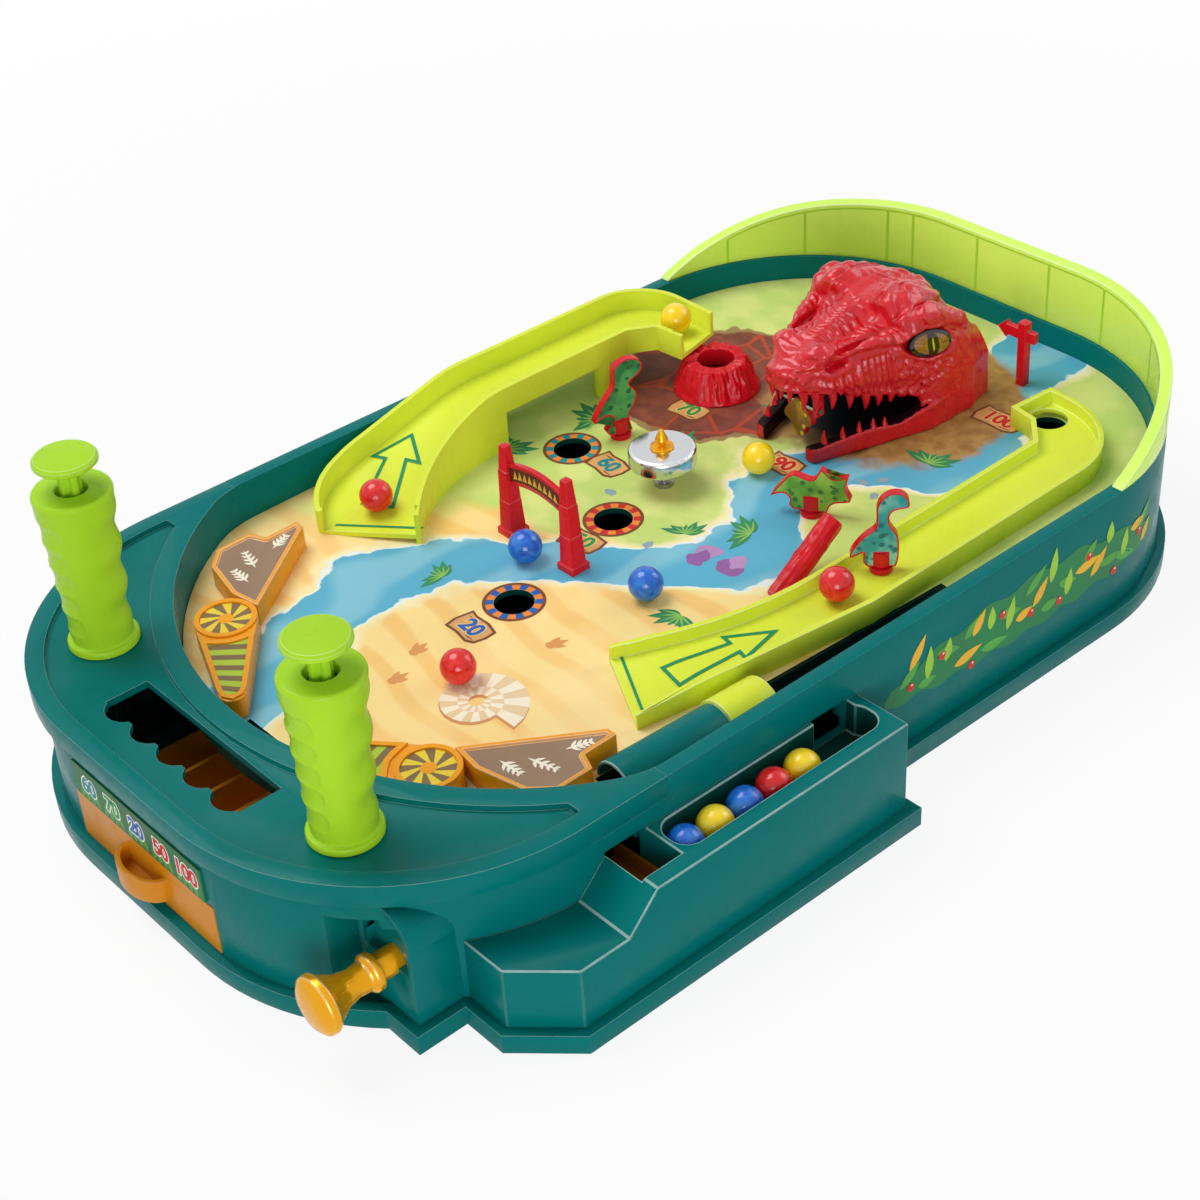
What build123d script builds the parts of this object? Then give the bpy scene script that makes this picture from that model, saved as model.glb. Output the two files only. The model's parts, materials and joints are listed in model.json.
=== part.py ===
from build123d import *
import os
from math import atan2, cos, degrees, radians, sin, sqrt, tan

# Tabletop pinball game. X runs to the player's right, Y away from the player and Z up.
# The origin is the middle of the body's plan, on the table. Sizes are in millimetres.

# Body
body_width = 262.0
body_length = 464.0
corner_radius = 95.0
rim_height = 62.0
rim_width = 6.0
wall = 3.0
front_setback = 4.0
band_height = 9.0
flange_out = 4.0
flange_height = 8.0
plate_floor = 3.0
ledge_width = 4.0
ledge_bottom = 37.0
basin_corner = 40.0
basin_radius_share = 1.05344
basin_front_share = -0.78683
split_margin = 3.0

# Playfield and balls
field_rise = 46.5
field_slope = 1.2
board_thick = 2.5
ball_diameter = 13.6
hole_diameter = 16.0
drain_width = 32.0
drain_rear_share = -0.73
hole_shares = [(-0.511, 0.126), (-0.113, 0.024), (-0.007, -0.249)]

# Clearances and the overrun of cuts
seat_gap = 0.1
run_gap = 0.1
slide_gap = 0.3
overrun = 10.0

half_width = body_width / 2
half_length = body_length / 2
band_bottom = rim_height - band_height
basin_front_radius = basin_radius_share * half_width
basin_centre_y = basin_front_share * half_length + basin_front_radius
basin_side_drop = sqrt(basin_front_radius**2 - (half_width - rim_width) ** 2)
deck_split = basin_centre_y - basin_side_drop + split_margin
drain_rear = drain_rear_share * half_length
ball_radius = ball_diameter / 2
slope_rise = tan(radians(field_slope))
field = Plane.XY.offset(field_rise).rotated((field_slope, 0, 0))

# Front deck: sunken panel and the window over the drawer
panel_depth = 2.5
panel_edge = 7.0
panel_inner = 9.0
panel_corner = 1.5
panel_end_share = -0.57
window_rear_share = -0.834
window_span = 84.0
window_depth = 21.5
scallop_radius = 8.4
deck_plate = panel_depth + wall
deck_panel_end = panel_end_share * half_length
window_rear = window_rear_share * half_length

# Side ball tray: a box on the right side with a low chamfered block at its front
tray_depth = 25.0
tray_front_share = -0.776
tray_rear_share = -0.039
tray_slope_front_share = -0.608
tray_slope_rear_share = -0.552
tray_window_share = -0.101
tray_chamfer = 18.0
tray_height = 46.5
tray_step_height = 33.0
trough_floor = 33.0
trough_width = 16.0
trough_corner = 7.0
trough_wall = 2.0
tray_out = half_width + tray_depth
tray_front = tray_front_share * half_length
tray_rear = tray_rear_share * half_length
tray_slope_front = tray_slope_front_share * half_length
tray_slope_rear = tray_slope_rear_share * half_length
tray_window_y = tray_window_share * half_length
chamfer_shift_share = tan(radians(45 / 2))

# Plunger and its barrel at the front right corner
plunger_x_share = 0.798
plunger_height = 28.0
plunger_travel = 28.0
barrel_radius = 13.0
barrel_front_share = -0.862
barrel_length = 50.0
barrel_mouth = 6.0
hood_lift = 10.0
hood_wall = 2.5
hood_recess = 3.0
chamber_radius = 9.0
niche_gap = 3.0
niche_clear = 4.0
rod_radius = 5.0
rod_collar = 3.0
rod_collar_radius = 8.0
rod_tip = 4.0
rod_outside = 6.0
plunger_spring_length = 40.0
plunger_x = plunger_x_share * half_width
barrel_front = barrel_front_share * half_length
barrel_rear = barrel_front + barrel_length
niche_left = plunger_x - barrel_radius - niche_gap
niche_top = plunger_height + barrel_radius + niche_clear
spring_seat = barrel_mouth + plunger_spring_length
rod_inside = spring_seat + rod_collar + rod_tip
knob_length = 26.0
knob_radius = 11.0
knob_shares = [
    (0, 0), (0.64, 0), (0.64, 0.10), (0.50, 0.16), (0.47, 0.34), (0.56, 0.52),
    (0.82, 0.72), (1.0, 0.80), (0.98, 0.90), (0.75, 0.97), (0.35, 1.0), (0, 1.0),
]
plunger_plane = Plane((plunger_x, barrel_front, plunger_height), x_dir=(1, 0, 0), z_dir=(0, -1, 0))

# Launch lane from the plunger up to the playfield, turned a little outwards
lane_shift_share = 0.0996
lane_end_share = 0.26
lane_half = 7.2
lane_wall = 1.2
lane_floor = 2.0
lane_side = 11.0
lane_lip = -0.2
keel_front = 6.0
keel_thick = 2.0
slot_front = 44.0
cover_front_share = -0.44505
cover_rear_share = -0.245
cover_wall = 1.4
clip_rear_share = -0.15466
clip_wall = 2.4
lane_end = lane_end_share * half_length
lane_yaw = degrees(atan2(lane_shift_share * half_width, lane_end - barrel_rear))
lane_dir = (sin(radians(lane_yaw)), cos(radians(lane_yaw)))
lane_start = barrel_rear + slide_gap + (lane_half + lane_wall) * lane_dir[0]
lane_right = (lane_dir[1], -lane_dir[0], 0)
lane_frame = Plane((plunger_x, lane_start, 0), x_dir=(*lane_dir, 0), z_dir=lane_right)
lane_length = (lane_end - lane_start) / lane_dir[1]
lane_low = plunger_height - ball_radius
lane_high = field_rise + slope_rise * lane_end
lane_grade = (lane_high - lane_low) / lane_length
cover_inner = lane_half + lane_wall + slide_gap + seat_gap
cover_front = (cover_front_share * half_length - lane_start) / lane_dir[1]
cover_length = (cover_rear_share - cover_front_share) * half_length / lane_dir[1]
clip_length = (clip_rear_share - cover_rear_share) * half_length / lane_dir[1]
chute_room_front_share = -0.194
chute_room_rear_share = 0.323
chute_room_front = chute_room_front_share * half_length
chute_room_rear = chute_room_rear_share * half_length

# Feed chute between the tray and the lane
feed_share = -0.517
feed_width = 14.6
feed_wall = 1.4
feed_floor = 1.6
feed_side = 6.0
feed_drop = 2.0
feed_notch_reach = 29.0
feed_notch_height = 4.0
feed_notch_length = 24.0
feed_notch_shift = -2.0
feed_y = feed_share * half_length
window_width = feed_width + 2 * feed_wall + 4 * seat_gap
feed_along = (feed_y - lane_start) / lane_dir[1]
feed_low = lane_low + feed_along * lane_grade + slide_gap
feed_high = feed_low + feed_drop
feed_sill = feed_low - feed_floor - slide_gap
feed_skew = (feed_width / 2 + feed_wall) * lane_dir[0] / lane_dir[1]
feed_side_x = plunger_x + feed_along * lane_dir[0] + (lane_half + lane_wall) / lane_dir[1]
feed_inner = feed_side_x + feed_skew + slide_gap
trough_x = half_width + trough_wall + trough_width / 2
feed_outer = trough_x + trough_width / 2 - seat_gap
trough_front = feed_y + window_width / 2 + trough_wall
trough_rear = tray_rear - trough_wall - trough_wall

# Ball return tray under the board
return_slope = 1.7
return_rise = 25.0
return_thick = 2.0
return_wall = 2.0
return_rib = 8.0
leg_radius = 4.0
return_half_shares = [(0.32, -0.7026), (0.351, -0.517), (0.64, 0.09), (0.64, 0.80)]
return_leg_shares = [(-0.5, 0.1), (0.5, 0.1), (-0.5, 0.72), (0.5, 0.72), (-0.25, -0.45), (0.25, -0.45)]
divider_rear_share = 0.55
return_plane = Plane.XY.offset(return_rise).rotated((return_slope, 0, 0))

# Score drawer: slides out of the front, over two runners on the base plate
drawer_width = 88.0
drawer_height = 20.5
drawer_length = 64.0
drawer_wall = 2.0
drawer_divider = 1.6
drawer_pockets = 5
drawer_back_height = 9.0
drawer_face = 3.0
pull_radius = 14.0
pull_reach = 9.0
pull_height = 9.0
pull_drop = 5.0
runner_width = 3.0
runner_spread_share = 0.8
strip_gap = 1.2
strip_width = 82.0
strip_tall = 14.5
strip_thick = 0.8
drawer_front = -half_length + front_setback
drawer_low = flange_height + slide_gap

# Hand grips and thumb buttons on each side
grip_shares = (0.5725, -0.8233)
grip_height = 66.0
grip_ring_radius = 13.2
grip_ring_height = 3.0
grip_low_radius = 11.2
grip_top_radius = 14.6
grip_lip = 2.0
grip_cap = 6.0
grip_bore_radius = 8.0
grip_floor = 4.0
grip_scallop = 9.0
scallop_bite = 3.2
scallop_count = 4
stem_size = 8.0
stem_web = 2.4
stem_hole_radius = 5.0
cap_radius = 11.75
cap_edge = 1.0
cap_height = 3.4
cap_rise = 13.5
collar_radius = 6.2
collar_height = 3.0
spring_inner = 4.6
spring_outer = 6.4
grip_base = rim_height - panel_depth
button_top = grip_base + grip_height + cap_rise
collar_top = grip_base + grip_height - grip_cap - slide_gap
spring_length = collar_top - collar_height - grip_base - grip_floor - seat_gap

# Sliders, flipper shafts and flippers
flipper_shares = (0.4733, -0.635)
flipper_reach = 46.0
flipper_rest = 31.0
flipper_clear = 0.5
flipper_height = 9.0
hub_radius = 12.0
tip_radius = 5.0
shaft_radius = 3.0
shaft_drop = 35.0
socket_radius = 5.5
socket_height = 15.0
slider_thick = 4.0
slider_travel = 8.0
slider_bar = 9.0
slider_nose = 8.0
slider_shoulder = 13.0
slider_crest = 4.0
slider_rail = 2.0
rail_height = 7.0
fork_top = 48.5
fork_bridge = 4.0
fork_cheek = 2.0
fork_tail = 3.0
pin_height = 31.0
pin_radius = 1.6
crank_radius = 5.0
crank_thick = 5.0
crank_drop = 21.4
crank_spare = 0.8
crank_pin_top = 29.0
grip_x, grip_y = grip_shares[0] * half_width, grip_shares[1] * half_length
flipper_x, flipper_y = flipper_shares[0] * half_width, flipper_shares[1] * half_length
crank_reach = grip_x - flipper_x
crank_level = -crank_drop
crank_aim = degrees(atan2(slider_travel / 2, crank_reach))
crank_pin_y = flipper_y + crank_drop * sin(radians(field_slope)) + slider_travel / 2
slider_low = plate_floor + slide_gap

# Screws that hold the base plate to the bosses of the wall shell
screw_shares = [
    (-0.427, -0.942), (0.427, -0.942), (-0.94, -0.30), (-0.94, 0.30),
    (0.94, 0.42), (-0.53, 0.94), (0.53, 0.94),
]
screw_radius = 1.5
screw_head_radius = 3.0
screw_length = 14.0
screw_recess = 0.4
boss_radius = 5.0
boss_height = 24.0

# Ramps
ramp_wall = 2.2
ramp_floor = 2.0
ramp_bend = 60.0
ramp_gate = 6.0
left_ramp_rise = 19.5
left_ramp_side = 9.5
left_skirt_share = 0.05
left_leg_shares = (-0.695, 0.295)
left_ramp_shares = [
    (-0.725, -0.353), (-0.908, -0.194), (-0.908, 0.397), (-0.718, 0.504), (-0.55, 0.504),
    (-0.504, 0.397), (-0.611, 0.392), (-0.664, 0.345), (-0.664, 0.022), (-0.443, -0.25),
]
left_line_shares = [(-0.365, -0.05), (-0.237, 0.18), (0.022, 1.0), (0.52, 1.0)]
right_ramp_rise = 8.0
right_ramp_side = 5.5
right_ramp_shares = [
    (0.687, -0.332), (0.752, -0.155), (0.8206, 0.108), (0.8206, 0.625), (0.534, 0.802),
    (0.443, 0.806), (0.427, 0.707), (0.519, 0.698), (0.603, 0.647), (0.603, 0.108), (0.412, -0.25),
]
right_line_shares = [(-0.345, -0.11), (-0.19, 0.44), (0.09, 0.63), (0.82, 1.0)]
pocket_shares = (0.519, 0.75)
left_skirt_end = left_skirt_share * half_length
left_ramp_line = [(y * half_length, field_rise + z * left_ramp_rise) for y, z in left_line_shares]
right_ramp_line = [(y * half_length, field_rise + z * right_ramp_rise) for y, z in right_line_shares]

# Back shield
shield_thick = 5.0
shield_rise = 30.0
shield_shares = [(0.603, 0.03), (0.696, 0.35), (0.795, 0.63), (0.875, 0.81), (0.938, 0.91), (1.0, 1.0)]
shield_line = [(y * half_length, rim_height + z * shield_rise) for y, z in shield_shares]

# Volcano
volcano_shares = (-0.447, 0.455)
volcano_base_radius = 19.2
volcano_top_radius = 13.0
volcano_height = 14.0
volcano_wall = 8.0
crater_depth = 8.0

# Dinosaur head: shares of its half width, length and height
head_x = 0.0
head_front_share = 0.362
head_length = 96.0
head_half = 36.0
head_height = 60.0
head_wall = 3.0
head_shares = [
    (0.0, 0.44, 0.23, 0.51, 0.33, 0.60, 0.28, 0.65, 0.17, 0.0),
    (0.146, 0.415, 0.36, 0.51, 0.475, 0.67, 0.39, 0.77, 0.225, 0.0),
    (0.375, 0.375, 0.56, 0.49, 0.68, 0.75, 0.57, 0.90, 0.34, 0.02),
    (0.56, 0.28, 0.77, 0.44, 0.84, 0.785, 0.73, 0.99, 0.44, 0.06),
    (0.635, 0.0, 0.95, 0.40, 0.91, 0.80, 0.77, 1.0, 0.45, 0.06),
    (0.844, 0.0, 0.98, 0.36, 0.98, 0.73, 0.77, 0.92, 0.43, 0.06),
    (1.0, 0.0, 0.86, 0.33, 0.84, 0.58, 0.63, 0.70, 0.36, 0.0),
]
jaw_shares = [
    (0.31, 0.04), (0.46, 0.04), (0.95, 0.60), (0.96, 0.82), (0.88, 0.96), (0.74, 0.96), (0.80, 0.82),
    (0.79, 0.60),
]
jaw_height = 7.0
jaw_rear_height = 12.0
jaw_rise_shares = (0.08, 0.6)
throat_shares = (0.0, 0.64)
throat_clear = 8.0
tooth_count = 6
tooth_radius = 1.8
tooth_height = 4.5
tooth_shares = [(0.446, 0.11), (0.714, 0.42)]
eye_shares = (0.817, 0.62, 0.64)
eye_long = 22.0
eye_tall = 11.0
eye_depth = 5.0
eye_edge = 0.5
eye_dome = 1.8
eye_dome_share = 0.5
eye_yaw_share = 0.126
eye_tilt_share = 0.22
eye_slant_share = 0.2
head_front = head_front_share * half_length
head_stations = [
    (
        head_front + station[0] * head_length,
        station[1] * head_height, station[2] * head_half, station[3] * head_height, station[4] * head_half,
        station[5] * head_height, station[6] * head_half, station[7] * head_height, station[8] * head_half,
        station[9] * head_height,
    )
    for station in head_shares
]
jaw_outline = [(x * head_half, head_front + y * head_length) for x, y in jaw_shares]
jaw_rise = [head_front + share * head_length for share in jaw_rise_shares]
jaw_grade = (jaw_rear_height - jaw_height) / (jaw_rise[1] - jaw_rise[0])

# Mouth flap: a flat target that hangs on a pin between two lugs
flap_y_share = 0.14
flap_pin_up = 19.0
flap_pin_radius = 1.2
flap_eye_radius = 2.6
flap_width = 15.0
flap_height = 14.0
flap_thick = 3.0
flap_shares = [
    (-0.12, 0.05), (-0.45, -0.30), (-0.50, -0.55), (-0.28, -0.70), (-0.20, -1.0), (0.20, -1.0),
    (0.28, -0.70), (0.50, -0.55), (0.45, -0.30), (0.12, 0.05),
]
lug_spread = 10.5
lug_thick = 2.5
lug_width = 6.0
lug_drop = 2.6
lug_reach = 8.0
flap_y = head_front + flap_y_share * head_length
flap_axis = field.location * Location((head_x, flap_y, flap_pin_up), (0, 90, 0))

# Gate
gate_shares = (-0.146, -0.1185)
gate_span = 36.4
gate_heights = [0.0, 3.0, 16.0, 30.0, 41.0]
gate_widths = [(9.0, 9.0), (7.2, 6.2), (6.0, 5.2), (4.8, 3.4)]
gate_steps = [(*ends, *widths) for ends, widths in zip(zip(gate_heights, gate_heights[1:]), gate_widths)]
banner_low = 23.0
banner_tall = 9.5
banner_rise = 4.0
banner_thick = 2.0
gate_x, gate_y = gate_shares[0] * half_width, gate_shares[1] * half_length

# Guides, log and sign
guide_shares = [
    (0.458, -0.579), (0.695, -0.392), (0.729, -0.392), (0.729, -0.455), (0.786, -0.468),
    (0.786, -0.534), (0.725, -0.569), (0.565, -0.588),
]
guide_height = 10.0
guide_frame = 1.8
guide_inlay = 1.0
log_shares = (0.515, 0.084)
log_lean = 57.0
log_length = 32.0
log_radius = 4.5
sign_shares = (0.287, 0.836)
sign_height = 30.0
sign_post_size = 4.0
sign_board_up = 24.0
sign_board_width = 18.0
sign_board_tall = 8.0
sign_board_thick = 2.5
sign_board_shares = [
    (-0.75, 0.0), (-0.5, -0.5), (-0.5, -0.3), (0.35, -0.3), (0.35, 0.3), (-0.5, 0.3), (-0.5, 0.5),
]

# Spinner
spinner_shares = (-0.141, 0.159)
pin_foot_radius = 4.0
pin_foot_height = 2.0
spin_radius = 1.5
spin_top = 16.0
hub_low = 4.0
tip_low_radius = 2.6
hub_shoulder = 6.0
hub_core = 4.0
disc_low = 10.0
disc_thick = 8.0
disc_radius = 14.0
disc_edge = 1.0
knob_height = 8.0
knob_foot = 4.8
knob_foot_height = 0.6
knob_neck = 1.7
knob_waist = 2.7
knob_waist_share = 0.45
knob_head = 0.8

# Flat swinging figures on pegs: outline shares of width and height
peg_radius = 1.5
peg_height = 7.0
peg_foot_radius = 4.5
peg_foot = 2.0
figure_boss_radius = 3.2
figure_boss_top = 1.5
figure_thick = 3.6
hunter_shares = [
    (-0.18, 0.0), (0.20, 0.0), (0.16, 0.22), (0.30, 0.38), (0.30, 0.55), (0.20, 0.66), (0.42, 0.78),
    (0.46, 0.90), (0.20, 1.0), (-0.06, 0.92), (-0.10, 0.70), (-0.30, 0.50), (-0.50, 0.24), (-0.30, 0.30),
    (-0.14, 0.22),
]
horned_shares = [
    (-0.22, 0.0), (0.20, 0.0), (0.28, 0.22), (0.50, 0.34), (0.44, 0.58), (0.46, 0.86), (0.28, 0.80),
    (0.14, 0.98), (0.04, 0.74), (-0.20, 0.80), (-0.36, 0.60), (-0.50, 0.26), (-0.34, 0.34), (-0.26, 0.20),
]
long_neck_shares = [
    (-0.22, 0.0), (0.24, 0.0), (0.30, 0.25), (0.26, 0.45), (0.14, 0.60), (0.20, 0.78), (0.46, 0.84),
    (0.40, 0.98), (0.10, 1.0), (-0.08, 0.80), (-0.10, 0.55), (-0.30, 0.42), (-0.50, 0.14), (-0.30, 0.20),
]
figures = [
    ("hunter_figure", (-0.453, 0.215), False, 75.0, hunter_shares, 24.0, 34.0),
    ("horned_figure", (0.309, 0.268), False, 30.0, horned_shares, 32.0, 20.0),
    ("long_neck_figure", (0.69, 0.207), True, 45.0, long_neck_shares, 22.0, 32.0),
]

# Balls: five in the tray, four on the playfield and three on the ramps
tray_ball_step = ball_diameter + slide_gap
tray_ball_rows = {"tray_balls_blue": (0, 2), "tray_balls_yellow": (1, 4), "tray_ball_red": (3,)}
field_ball_shares = {
    "field_ball_left_blue": (-0.140, -0.159), "field_ball_right_blue": (0.263, -0.093),
    "field_ball_red": (0.170, -0.444), "field_ball_yellow": (0.029, 0.297),
}
ramp_ball_shares = {
    "left_ramp_ball_red": (-0.650, -0.254), "left_ramp_ball_yellow": (-0.629, 0.450),
    "right_ramp_ball_red": (0.700, 0.096),
}

os.makedirs("parts", exist_ok=True)


def save(piece, name):
    """Label a finished piece and write it as its own file."""
    piece.part.label = name
    export_step(piece.part, f"parts/{name}.step")


def place(shares):
    """Plan point from shares of the body's half width and half length."""
    return (shares[0] * half_width, shares[1] * half_length)


def places(shares_list):
    """Plan points from a list of shares."""
    return [place(shares) for shares in shares_list]


def mirrored(shares, side):
    """Shares of a plan point for the right side (1) or the left side (-1)."""
    return (side * shares[0], shares[1])


def field_height(y):
    """Height of the playfield's top face at a distance along the body."""
    return field_rise + slope_rise * y


def on_field(x, y, up=0.0, turn=0.0):
    """Plane that stands on the sloped playfield at a plan point."""
    return Plane(field.location * Location((x, y, up), (0, 0, turn)))


def front_plane(y):
    """Upright plane at a distance along the body, facing the player."""
    return Plane.XZ.offset(-y)


def body_outline(grow=0.0, setback=0.0):
    """Rounded outline of the body, grown outwards, with its front set back."""
    with BuildSketch(mode=Mode.PRIVATE) as outline:
        with Locations((0, setback / 2)):
            RectangleRounded(
                body_width + 2 * grow, body_length - setback + 2 * grow, corner_radius + grow
            )
    return outline.sketch


def basin_outline(grow=0.0):
    """Outline of the sunken playfield: straight sides, round back and a wide front arc."""
    with BuildSketch(mode=Mode.PRIVATE) as reach:
        with Locations((0, basin_centre_y)):
            Circle(basin_front_radius + grow)
            Rectangle(2 * body_width, body_length, align=(Align.CENTER, Align.MIN))
    with BuildSketch(mode=Mode.PRIVATE) as outline:
        add(body_outline(grow - rim_width))
        add(reach.sketch, mode=Mode.INTERSECT)
        fillet(outline.vertices().group_by(Axis.Y)[0], basin_corner + grow)
    return outline.sketch


def part_of(sketch, limit, ahead):
    """The stretch of a plan sketch ahead of, or behind, a distance along the body."""
    edge = Align.MAX if ahead else Align.MIN
    with BuildSketch(mode=Mode.PRIVATE) as stretch:
        add(sketch)
        with Locations((0, limit)):
            Rectangle(2 * body_width, 2 * body_length, align=(Align.CENTER, edge), mode=Mode.INTERSECT)
    return stretch.sketch


def crescent(edge, inner, limit):
    """Crescent of the front deck between the outer edge and the basin's front arc."""
    with BuildSketch(mode=Mode.PRIVATE) as outline:
        add(part_of(body_outline(-edge), limit, True))
        with Locations((0, basin_centre_y)):
            Circle(basin_front_radius + inner, mode=Mode.SUBTRACT)
    return outline.sketch


def tray_outline(grow=0.0):
    """Outline of the side tray from the middle of the body, grown outwards."""
    shift = grow * chamfer_shift_share
    with BuildSketch(mode=Mode.PRIVATE) as outline:
        with BuildLine():
            Polyline(
                (half_width / 2, tray_rear + grow),
                (tray_out + grow, tray_rear + grow),
                (tray_out + grow, tray_front + tray_chamfer - shift),
                (tray_out - tray_chamfer + shift, tray_front - grow),
                (half_width / 2, tray_front - grow),
                close=True,
            )
        make_face()
    return outline.sketch


def barrel_outline(grow=0.0):
    """Outline of the plunger barrel seen from above, grown outwards."""
    with BuildSketch(mode=Mode.PRIVATE) as outline:
        with Locations((plunger_x, barrel_front - grow)):
            Rectangle(2 * (barrel_radius + grow), barrel_length + grow, align=(Align.CENTER, Align.MIN))
    return outline.sketch


def barrel_profile(grow=0.0, lift=0.0, foot=plate_floor):
    """Front view of the plunger barrel: a round top, lifted if asked, on a straight block, grown outwards."""
    with BuildSketch(mode=Mode.PRIVATE) as outline:
        with Locations((plunger_x, plunger_height + lift)):
            Circle(barrel_radius + grow)
        with Locations((plunger_x, foot)):
            Rectangle(
                2 * (barrel_radius + grow), plunger_height + lift - foot, align=(Align.CENTER, Align.MIN)
            )
    return outline.sketch


def footprint(grow=0.0):
    """Outline of everything that stands on the base plate, grown outwards."""
    with BuildSketch(mode=Mode.PRIVATE) as outline:
        add(body_outline(grow, front_setback))
        add(tray_outline(grow))
        add(barrel_outline(grow))
    return outline.sketch


def lane_slot(grow=0.0):
    """Plan of the launch lane between its ends, grown sideways."""
    lane_top = Plane(lane_frame.origin, x_dir=lane_right, z_dir=(0, 0, 1))
    with BuildSketch(lane_top, mode=Mode.PRIVATE) as slot:
        with Locations((0, slot_front)):
            Rectangle(
                2 * (lane_half + lane_wall + grow), lane_length - slot_front + grow,
                align=(Align.CENTER, Align.MIN),
            )
    return slot.sketch


def line_height(line, y):
    """Height of a ramp's floor line at a distance along the body."""
    for (near, low), (far, high) in zip(line, line[1:]):
        if y <= far:
            return low + (high - low) * (y - near) / (far - near)
    return line[-1][1]


def turn(plane, points, mode=Mode.ADD):
    """Turn a profile of (radius, height) points about a plane's normal, in the open part."""
    side = Plane(plane.origin, x_dir=plane.x_dir, z_dir=-plane.y_dir)
    with BuildSketch(side) as profile:
        with BuildLine():
            Polyline(*points, close=True)
        make_face()
    revolve(profile.sketch, axis=Axis(plane.origin, plane.z_dir), mode=mode)


def rod(radius, low, high):
    """Profile of a plain round bar for turning."""
    return [(0, low), (radius, low), (radius, high), (0, high)]


drawer_pocket = (drawer_width - 2 * wall - 2 * drawer_wall + drawer_divider) / drawer_pockets
return_right = places(return_half_shares)
return_outline = [(-x, y) for x, y in return_right] + return_right[::-1]
return_front = return_right[0][1]
divider_rear = divider_rear_share * half_length


def return_height(y):
    """Height of the return tray's top face at a distance along the body."""
    return return_rise + tan(radians(return_slope)) * y


def return_edge():
    """Plan of the return tray's rim, open at the front."""
    with BuildSketch(mode=Mode.PRIVATE) as plate:
        with BuildLine():
            Polyline(*return_outline, close=True)
        make_face()
    with BuildSketch(mode=Mode.PRIVATE) as edge:
        add(plate.sketch)
        offset(plate.sketch, amount=-return_wall, mode=Mode.SUBTRACT)
        with Locations((0, return_front)):
            Rectangle(2 * (return_right[0][0] - return_wall), 4 * return_wall, mode=Mode.SUBTRACT)
    return edge.sketch


def return_divider(rank):
    """Plan of one rib of the return tray, from a drawer divider back to the wide end."""
    front_x = (rank - drawer_pockets / 2) * drawer_pocket
    rear_x = (rank - drawer_pockets / 2) * 2 * return_right[-1][0] / drawer_pockets
    thick = return_wall / 2
    return [
        (front_x - thick, return_front), (front_x + thick, return_front),
        (rear_x + thick, divider_rear), (rear_x - thick, divider_rear),
    ]


# Base plate with the ledge round its edge, drawer runners, slider rails and flipper sockets
with BuildPart() as base_plate:
    with BuildSketch():
        add(footprint(flange_out))
    extrude(amount=flange_height)
    with BuildSketch(Plane.XY.offset(plate_floor)):
        add(footprint(seat_gap))
    extrude(amount=flange_height, mode=Mode.SUBTRACT)
    with BuildSketch(Plane.XY.offset(plate_floor)):
        for side in (-1, 1):
            runner_x = side * runner_spread_share * drawer_width / 2
            with Locations((runner_x, drawer_front + wall + slide_gap)):
                Rectangle(runner_width, drawer_length - wall, align=(Align.CENTER, Align.MIN))
    extrude(amount=flange_height - plate_floor)
    with BuildSketch(Plane.XY.offset(plate_floor)):
        for side in (-1, 1):
            for edge in (-1, 1):
                gap = slider_thick / 2 + slide_gap + slider_rail / 2
                with Locations((side * grip_x + edge * gap, (grip_y + flipper_y) / 2)):
                    Rectangle(slider_rail, flipper_y - grip_y)
    extrude(amount=rail_height)
    with BuildSketch(Plane.XY.offset(plate_floor)):
        with Locations(*[(side * flipper_x, flipper_y) for side in (-1, 1)]):
            Circle(socket_radius)
    extrude(amount=socket_height)
    for side in (-1, 1):
        shaft_plane = on_field(side * flipper_x, flipper_y)
        turn(shaft_plane, rod(shaft_radius + run_gap, -shaft_drop - slide_gap, overrun), Mode.SUBTRACT)
    for spot in places(screw_shares):
        with Locations(Location((*spot, 0), (180, 0, 0))):
            CounterSinkHole(
                screw_radius + seat_gap, screw_head_radius + seat_gap + screw_recess,
                depth=plate_floor + overrun, counter_sink_angle=90,
            )
save(base_plate, "base_plate")

# Screws with countersunk heads, driven from below
with BuildPart() as base_screws:
    for spot in places(screw_shares):
        turn(Plane((*spot, screw_recess)), [
            (0, 0), (screw_head_radius, 0), (screw_radius, screw_head_radius - screw_radius),
            (screw_radius, screw_length), (0, screw_length),
        ])
save(base_screws, "base_screws")

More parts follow.
